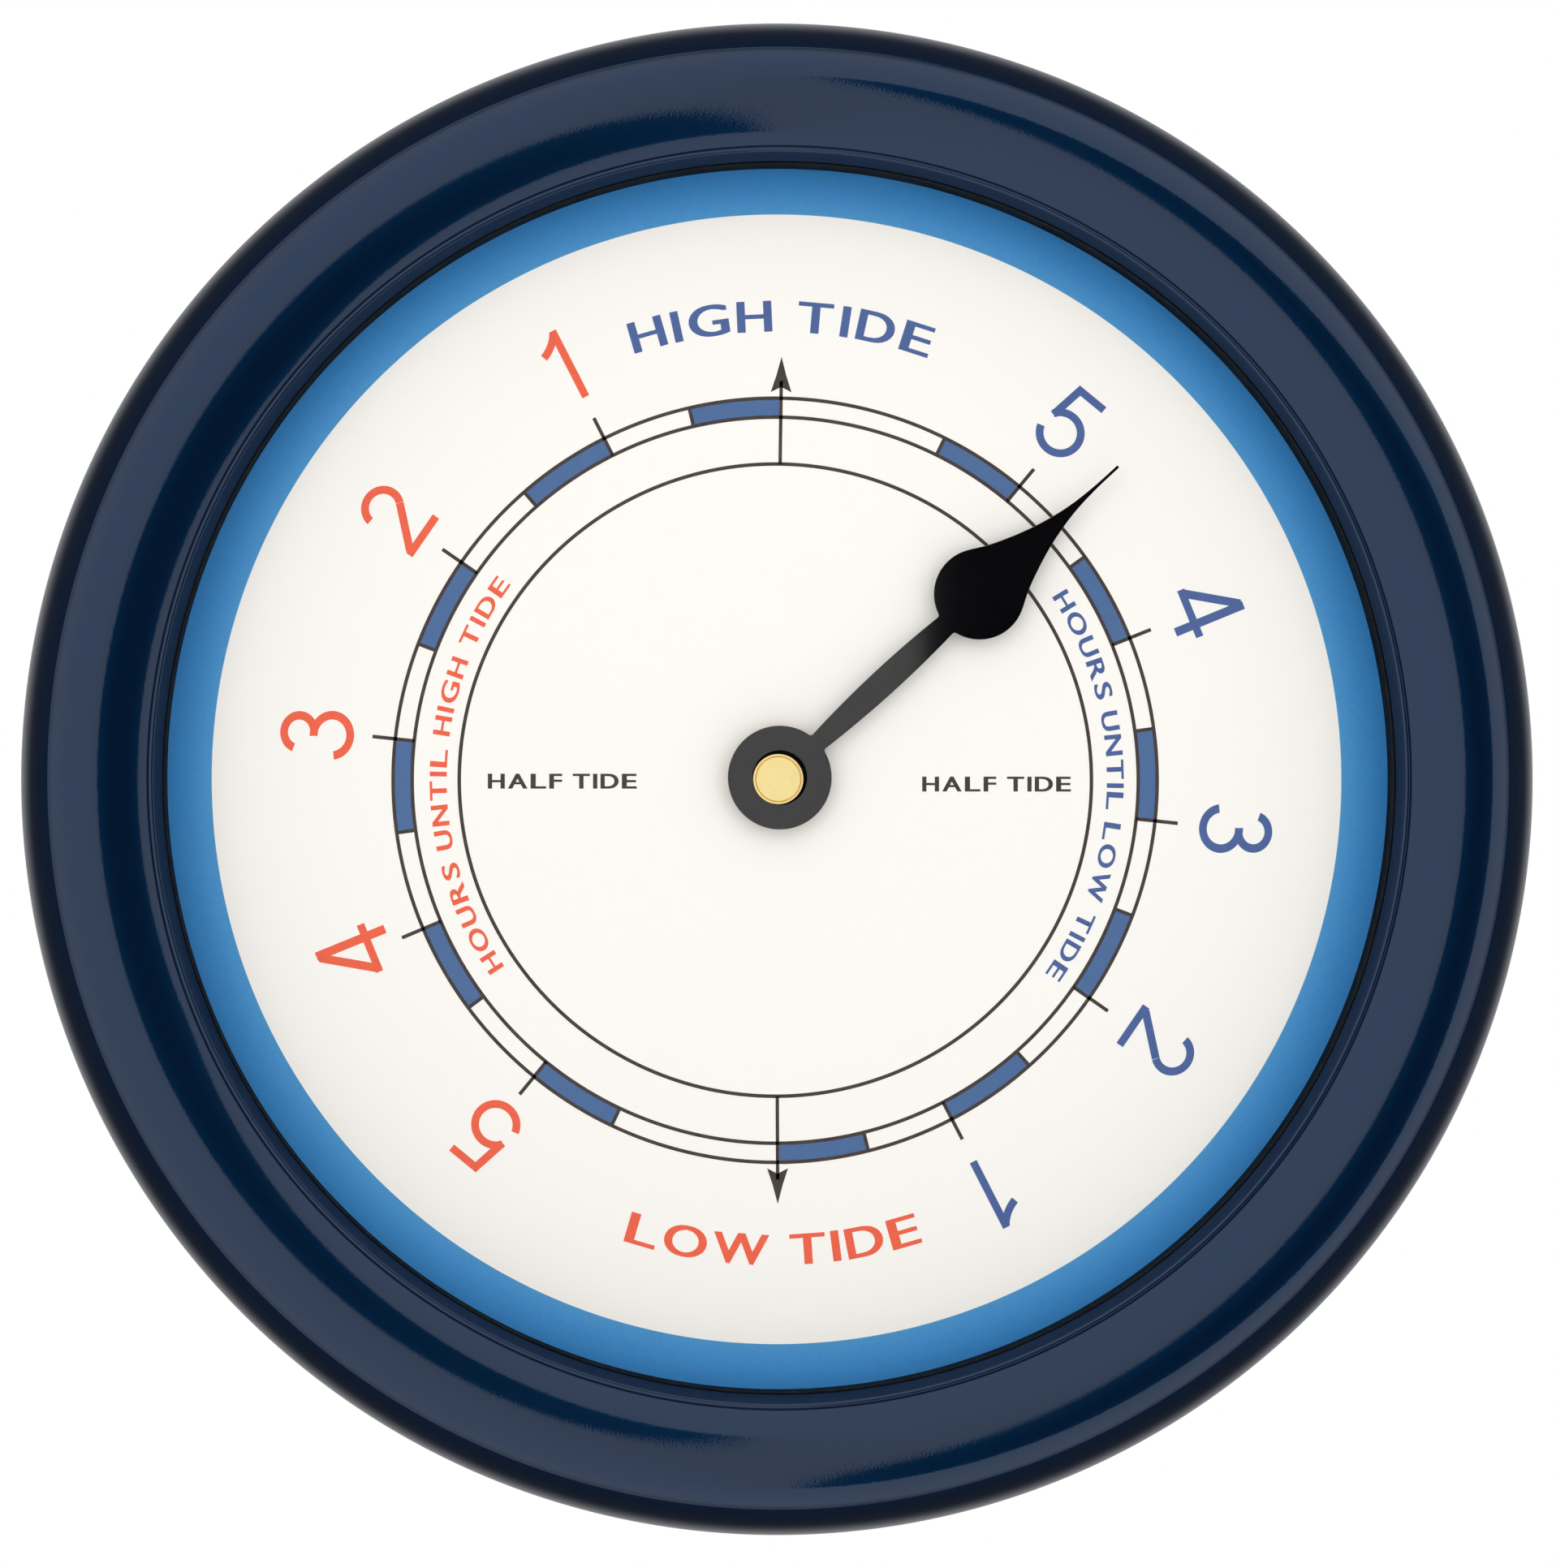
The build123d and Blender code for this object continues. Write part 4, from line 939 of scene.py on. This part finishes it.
# a bar has its two ends; an arc has its centre, radius, first angle and sweep
strokes = {
    1: [("bar", (0.06, -0.5), (0.06, 0.5)), ("arc", (-0.42, 0.72), 0.541, -67, 39)],
    2: [
        ("arc", (-0.01, 0.215), 0.233, 172, -212), ("bar", (0.166, 0.062), (-0.262, -0.42)),
        ("bar", (-0.315, -0.4475), (0.285, -0.4475)),
    ],
    3: [("arc", (-0.02, 0.245), 0.2025, 165, -262), ("arc", (-0.02, -0.2), 0.2475, 97, -265)],
    4: [
        ("bar", (0.125, -0.5), (0.125, 0.5)), ("bar", (0.10, 0.47), (-0.275, -0.205)),
        ("bar", (-0.325, -0.215), (0.285, -0.215)),
    ],
    5: [
        ("bar", (-0.19, 0.4475), (0.25, 0.4475)), ("bar", (-0.155, 0.495), (-0.235, -0.035)),
        ("arc", (-0.01, -0.17), 0.2775, 149, -312),
    ],
}


def addNumeral(bm, digit, angle, shift):
    tall = numeral["height"]
    width = numeral["stroke"] * tall
    wide = Matrix.Diagonal((numeral["widths"][digit], 1, 1, 1))
    place = onDial(angle, numeral["radius"]) @ Matrix.Translation((shift[0] * mm, shift[1] * mm, 0)) @ wide
    for index, (kind, start, *rest) in enumerate(strokes[digit]):
        lift = numeral["lift"] * index
        start = [part * tall for part in start]
        if kind == "bar":
            addBar(bm, start, [part * tall for part in rest[0]], width, place, lift)
        else:
            radius, first, sweep = rest
            addArc(bm, start, radius * tall, width, first, sweep, place, lift=lift)


for name, side, material in (("numerals_until_low", 180, "inkBlue"), ("numerals_until_high", 360, "inkRed")):
    bm = bmesh.new()
    for digit, shift in numeralShifts[name].items():
        addNumeral(bm, digit, side - ink["hourFirst"] - ink["hourStep"] * (digit - 1), shift)
    newPiece(name, bm, inkFinishes[material], "clock")
print("dial print made")

# the letters are stretched and their stems doubled, so that stems are twice as heavy as bars
lettering = {
    "stretch": 1.245, "stem": 0.077, "lift": 0.004, "space": 0.3, "roundness": 6, "extrude": 0.01,
    "shares": {"W": 0.91, "E": 1.25, "L": 1.28, "F": 1.15, "S": 1.22, "R": 1.15, "G": 1.08, "T": 1.03},
}
# on an arc between two angles and two radii, or on a level line between two places; tall is the height of the
# letters and up the rise of their middle
legends = {
    "legend_high_tide": {
        "words": "HIGH TIDE", "span": (-18.25, 19.66), "radius": (75.5, 80.7), "weight": 0.004,
        "ink": "inkBlue", "outward": True,
    },
    "legend_low_tide": {
        "words": "LOW TIDE", "span": (198.36, 162.35), "radius": (76.4, 81.55), "weight": 0.004,
        "ink": "inkRed", "outward": False,
    },
    "legend_until_low": {
        "words": "HOURS UNTIL LOW TIDE", "span": (56.6, 125.6), "radius": (55.8, 58.65), "weight": 0.006,
        "ink": "inkBlue", "outward": True,
    },
    "legend_until_high": {
        "words": "HOURS UNTIL HIGH TIDE", "span": (235.6, 306.3), "radius": (55.3, 58.15), "weight": 0.006,
        "ink": "inkRed", "outward": True,
    },
    "legend_half_left": {
        "words": "HALF TIDE", "line": (-48.4, -23.4), "tall": 2.5, "up": -0.24, "weight": 0.01,
        "ink": "inkDark",
    },
    "legend_half_right": {
        "words": "HALF TIDE", "line": (24.65, 49.73), "tall": 2.5, "up": -0.7, "weight": 0.01,
        "ink": "inkDark",
    },
}


def letter(character, weight):
    curve = bpy.data.curves.new("letter", "FONT")
    curve.body = character
    curve.size = 1
    curve.offset = weight
    curve.resolution_u = lettering["roundness"]
    curve.extrude = lettering["extrude"]
    holder = bpy.data.objects.new("letter", curve)
    mesh = bpy.data.meshes.new_from_object(holder)
    bm = bmesh.new()
    bm.from_mesh(mesh)
    bpy.data.objects.remove(holder)
    bpy.data.meshes.remove(mesh)
    return bm


def measureCap(weight):
    bm = letter("H", weight)
    heights = [vert.co.y for vert in bm.verts]
    bm.free()
    return max(heights), min(heights)


def flattened(bm, capTop, capBase, tall, stretch):
    # centred, brought to its height and stretch, and as thick as the print; gives its width
    low = min(vert.co.x for vert in bm.verts)
    high = max(vert.co.x for vert in bm.verts)
    scale = tall / (capTop - capBase)
    for vert in bm.verts:
        x, y, z = vert.co
        vert.co.x = (x - (low + high) / 2) * scale * stretch * mm
        vert.co.y = ((y - capBase) * scale - tall / 2) * mm
        vert.co.z = (ink["high"] if z > 0 else ink["low"]) * mm
    return (high - low) * scale * stretch


def doubleStems(bm, reach):
    copy = bmesh.ops.duplicate(bm, geom=bm.verts[:] + bm.edges[:] + bm.faces[:])["geom"]
    copy = [item for item in copy if isinstance(item, bmesh.types.BMVert)]
    first = list(set(bm.verts) - set(copy))
    bmesh.ops.translate(bm, vec=(reach / 2 * mm, 0, lettering["lift"] * mm), verts=copy)
    bmesh.ops.translate(bm, vec=(-reach / 2 * mm, 0, 0), verts=first)


def addLegend(name, look):
    curved = "span" in look
    tall = look["radius"][1] - look["radius"][0] if curved else look["tall"]
    capTop, capBase = measureCap(look["weight"])
    stem = lettering["stem"] * tall
    letters, widths = [], []
    for character in look["words"]:
        if character == " ":
            letters.append(None)
            widths.append(tall * lettering["space"])
            continue
        bm = letter(character, look["weight"])
        stretch = lettering["stretch"] * lettering["shares"].get(character, 1)
        widths.append(stem + flattened(bm, capTop, capBase, tall, stretch))
        doubleStems(bm, stem)
        letters.append(bm)
    begin, end = look["span"] if curved else look["line"]
    if curved:
        middle = sum(look["radius"]) / 2
        total = math.radians(abs(end - begin)) * middle
    else:
        total = end - begin
    gap = (total - sum(widths)) / (len(widths) - 1)
    joinedUp = bmesh.new()
    done = 0.0
    for bm, width in zip(letters, widths):
        centre = done + width / 2
        done += width + gap
        if bm is None:
            continue
        if curved:
            turned = math.degrees(centre / middle) * (1 if end > begin else -1)
            place = onDial(begin + turned, middle, look["outward"])
        else:
            place = facingDial @ Matrix.Translation(((begin + centre) * mm, look["up"] * mm, 0))
        bm.transform(place)
        mesh = bpy.data.meshes.new("letter")
        bm.to_mesh(mesh)
        bm.free()
        joinedUp.from_mesh(mesh)
        bpy.data.meshes.remove(mesh)
    print(name, "gap", round(gap, 2))
    newPiece(name, joinedUp, inkFinishes[look["ink"]], "clock")


for name, look in legends.items():
    addLegend(name, look)
print("legends made")

# light of the studio; a fade is where one level passes into the next, on a scale from -1 straight behind the
# clock to 1 straight in front of it
studio = {
    "level": 0.64, "key": 1.98, "keyFade": (0.6, 0.98), "rearLevel": 0.95, "rearFade": (-0.6, -0.1),
    "panel": 0.8, "panelFade": (0.0, 0.22), "rearPanel": 0.35, "rearPanelFade": (-0.95, -0.5), "side": 0.04,
}


def studioWorld():
    world = bpy.data.worlds.new("studio")
    bpy.context.scene.world = world
    world.use_nodes = True
    tree = world.node_tree
    tree.nodes.clear()
    path = tree.nodes.new("ShaderNodeLightPath").outputs
    heading = tree.nodes.new("ShaderNodeTexCoord").outputs["Generated"]
    parts = addNode(tree, "ShaderNodeSeparateXYZ", {0: heading})
    ahead = compute(tree, "MULTIPLY", parts.outputs["Y"], -1.0)
    # what gloss and metal reflect: a pale panel in front, a dimmer one behind and dark sides
    rear = ease(tree, ahead, *studio["rearPanelFade"], studio["rearPanel"], 0.0)
    around = compute(tree, "MAXIMUM", rear, studio["side"])
    shine = mixValue(tree, ease(tree, ahead, *studio["panelFade"]), around, studio["panel"])
    # what lights the object: strongest from the front and the back
    soft = ease(tree, ahead, *studio["keyFade"], studio["level"], studio["key"])
    soft = compute(tree, "MAXIMUM", soft, ease(tree, ahead, *studio["rearFade"], studio["rearLevel"], 0.0))
    level = mixValue(tree, path["Is Glossy Ray"], soft, shine)
    seen = compute(tree, "MAXIMUM", path["Is Camera Ray"], path["Is Transmission Ray"])
    strength = mixValue(tree, seen, level, 1.0)
    light = addNode(tree, "ShaderNodeBackground", {"Color": (1, 1, 1, 1), "Strength": strength})
    out = tree.nodes.new("ShaderNodeOutputWorld")
    tree.links.new(light.outputs[0], out.inputs[0])


ground = {
    "drop": -0.35, "radius": 1.2, "colour": (0.9, 0.9, 0.9, 1), "roughness": 0.8, "whiteFade": (0.55, 1.1),
}


def studioFloor():
    # pale near the object and white further out, so that it runs into the background
    bm = bmesh.new()
    bmesh.ops.create_circle(bm, cap_ends=True, radius=ground["radius"], segments=96)
    bmesh.ops.translate(bm, vec=(0, 0, ground["drop"]), verts=bm.verts[:])
    material, tree, shader = newMaterial("paleFloor")
    setShader(tree, shader, {"Base Color": ground["colour"], "Roughness": ground["roughness"]})
    far = ease(tree, lengthOf(tree, objectPlace(tree)), *ground["whiteFade"])
    path = tree.nodes.new("ShaderNodeLightPath").outputs
    white = addNode(tree, "ShaderNodeEmission", {"Strength": 1.0})
    mixSurface(tree, compute(tree, "MULTIPLY", far, path["Is Camera Ray"]), shader, white)
    floor = addObject("studio_floor", bm, material)
    floor.visible_glossy = False


card = {
    "away": 2.5, "left": 0.145, "right": 2.9, "low": -2.2, "high": 1.3, "colour": (0.002, 0.002, 0.002, 1),
}


def darkFlag():
    # a dark card to the right of the camera, seen only in the gloss of the paint, the hand and the metal
    bm = bmesh.new()
    left, right, low, high = (card[key] for key in ("left", "right", "low", "high"))
    centre = Matrix.Translation(((right + left) / 2, -card["away"], (high + low) / 2))
    upright = Matrix.Rotation(turn / 4, 4, "X")
    size = Matrix.Diagonal((right - left, high - low, 1, 1))
    bmesh.ops.create_grid(bm, x_segments=1, y_segments=1, size=0.5, matrix=centre @ upright @ size)
    material, tree, shader = newMaterial("darkCloth")
    setShader(tree, shader, {"Base Color": card["colour"], "Roughness": 1.0, "Specular IOR Level": 0.0})
    flag = addObject("studio_flag", bm, material)
    for ray in ("camera", "diffuse", "transmission", "shadow", "volume_scatter"):
        setattr(flag, "visible_" + ray, False)


# a little to the left of the clock's centre and below it, 0.9 m from the wall
view = {
    "place": (-0.022, -0.900, -0.014), "aim": (-0.00027, -0.026, -0.00106), "lens": 119.67, "sensor": 36,
    "nearest": 0.01,
}


def studioCamera():
    data = bpy.data.cameras.new("camera")
    data.sensor_fit = "VERTICAL"
    data.sensor_height = view["sensor"]
    data.lens = view["lens"]
    data.clip_start = view["nearest"]
    camera = bpy.data.objects.new("camera", data)
    bpy.context.scene.collection.objects.link(camera)
    camera.location = view["place"]
    look = Vector(view["aim"]) - Vector(view["place"])
    camera.rotation_euler = look.to_track_quat("-Z", "Y").to_euler()
    bpy.context.scene.camera = camera


studioWorld()
studioFloor()
darkFlag()
studioCamera()
bpy.context.scene.view_settings.view_transform = "Standard"
print("studio ready")
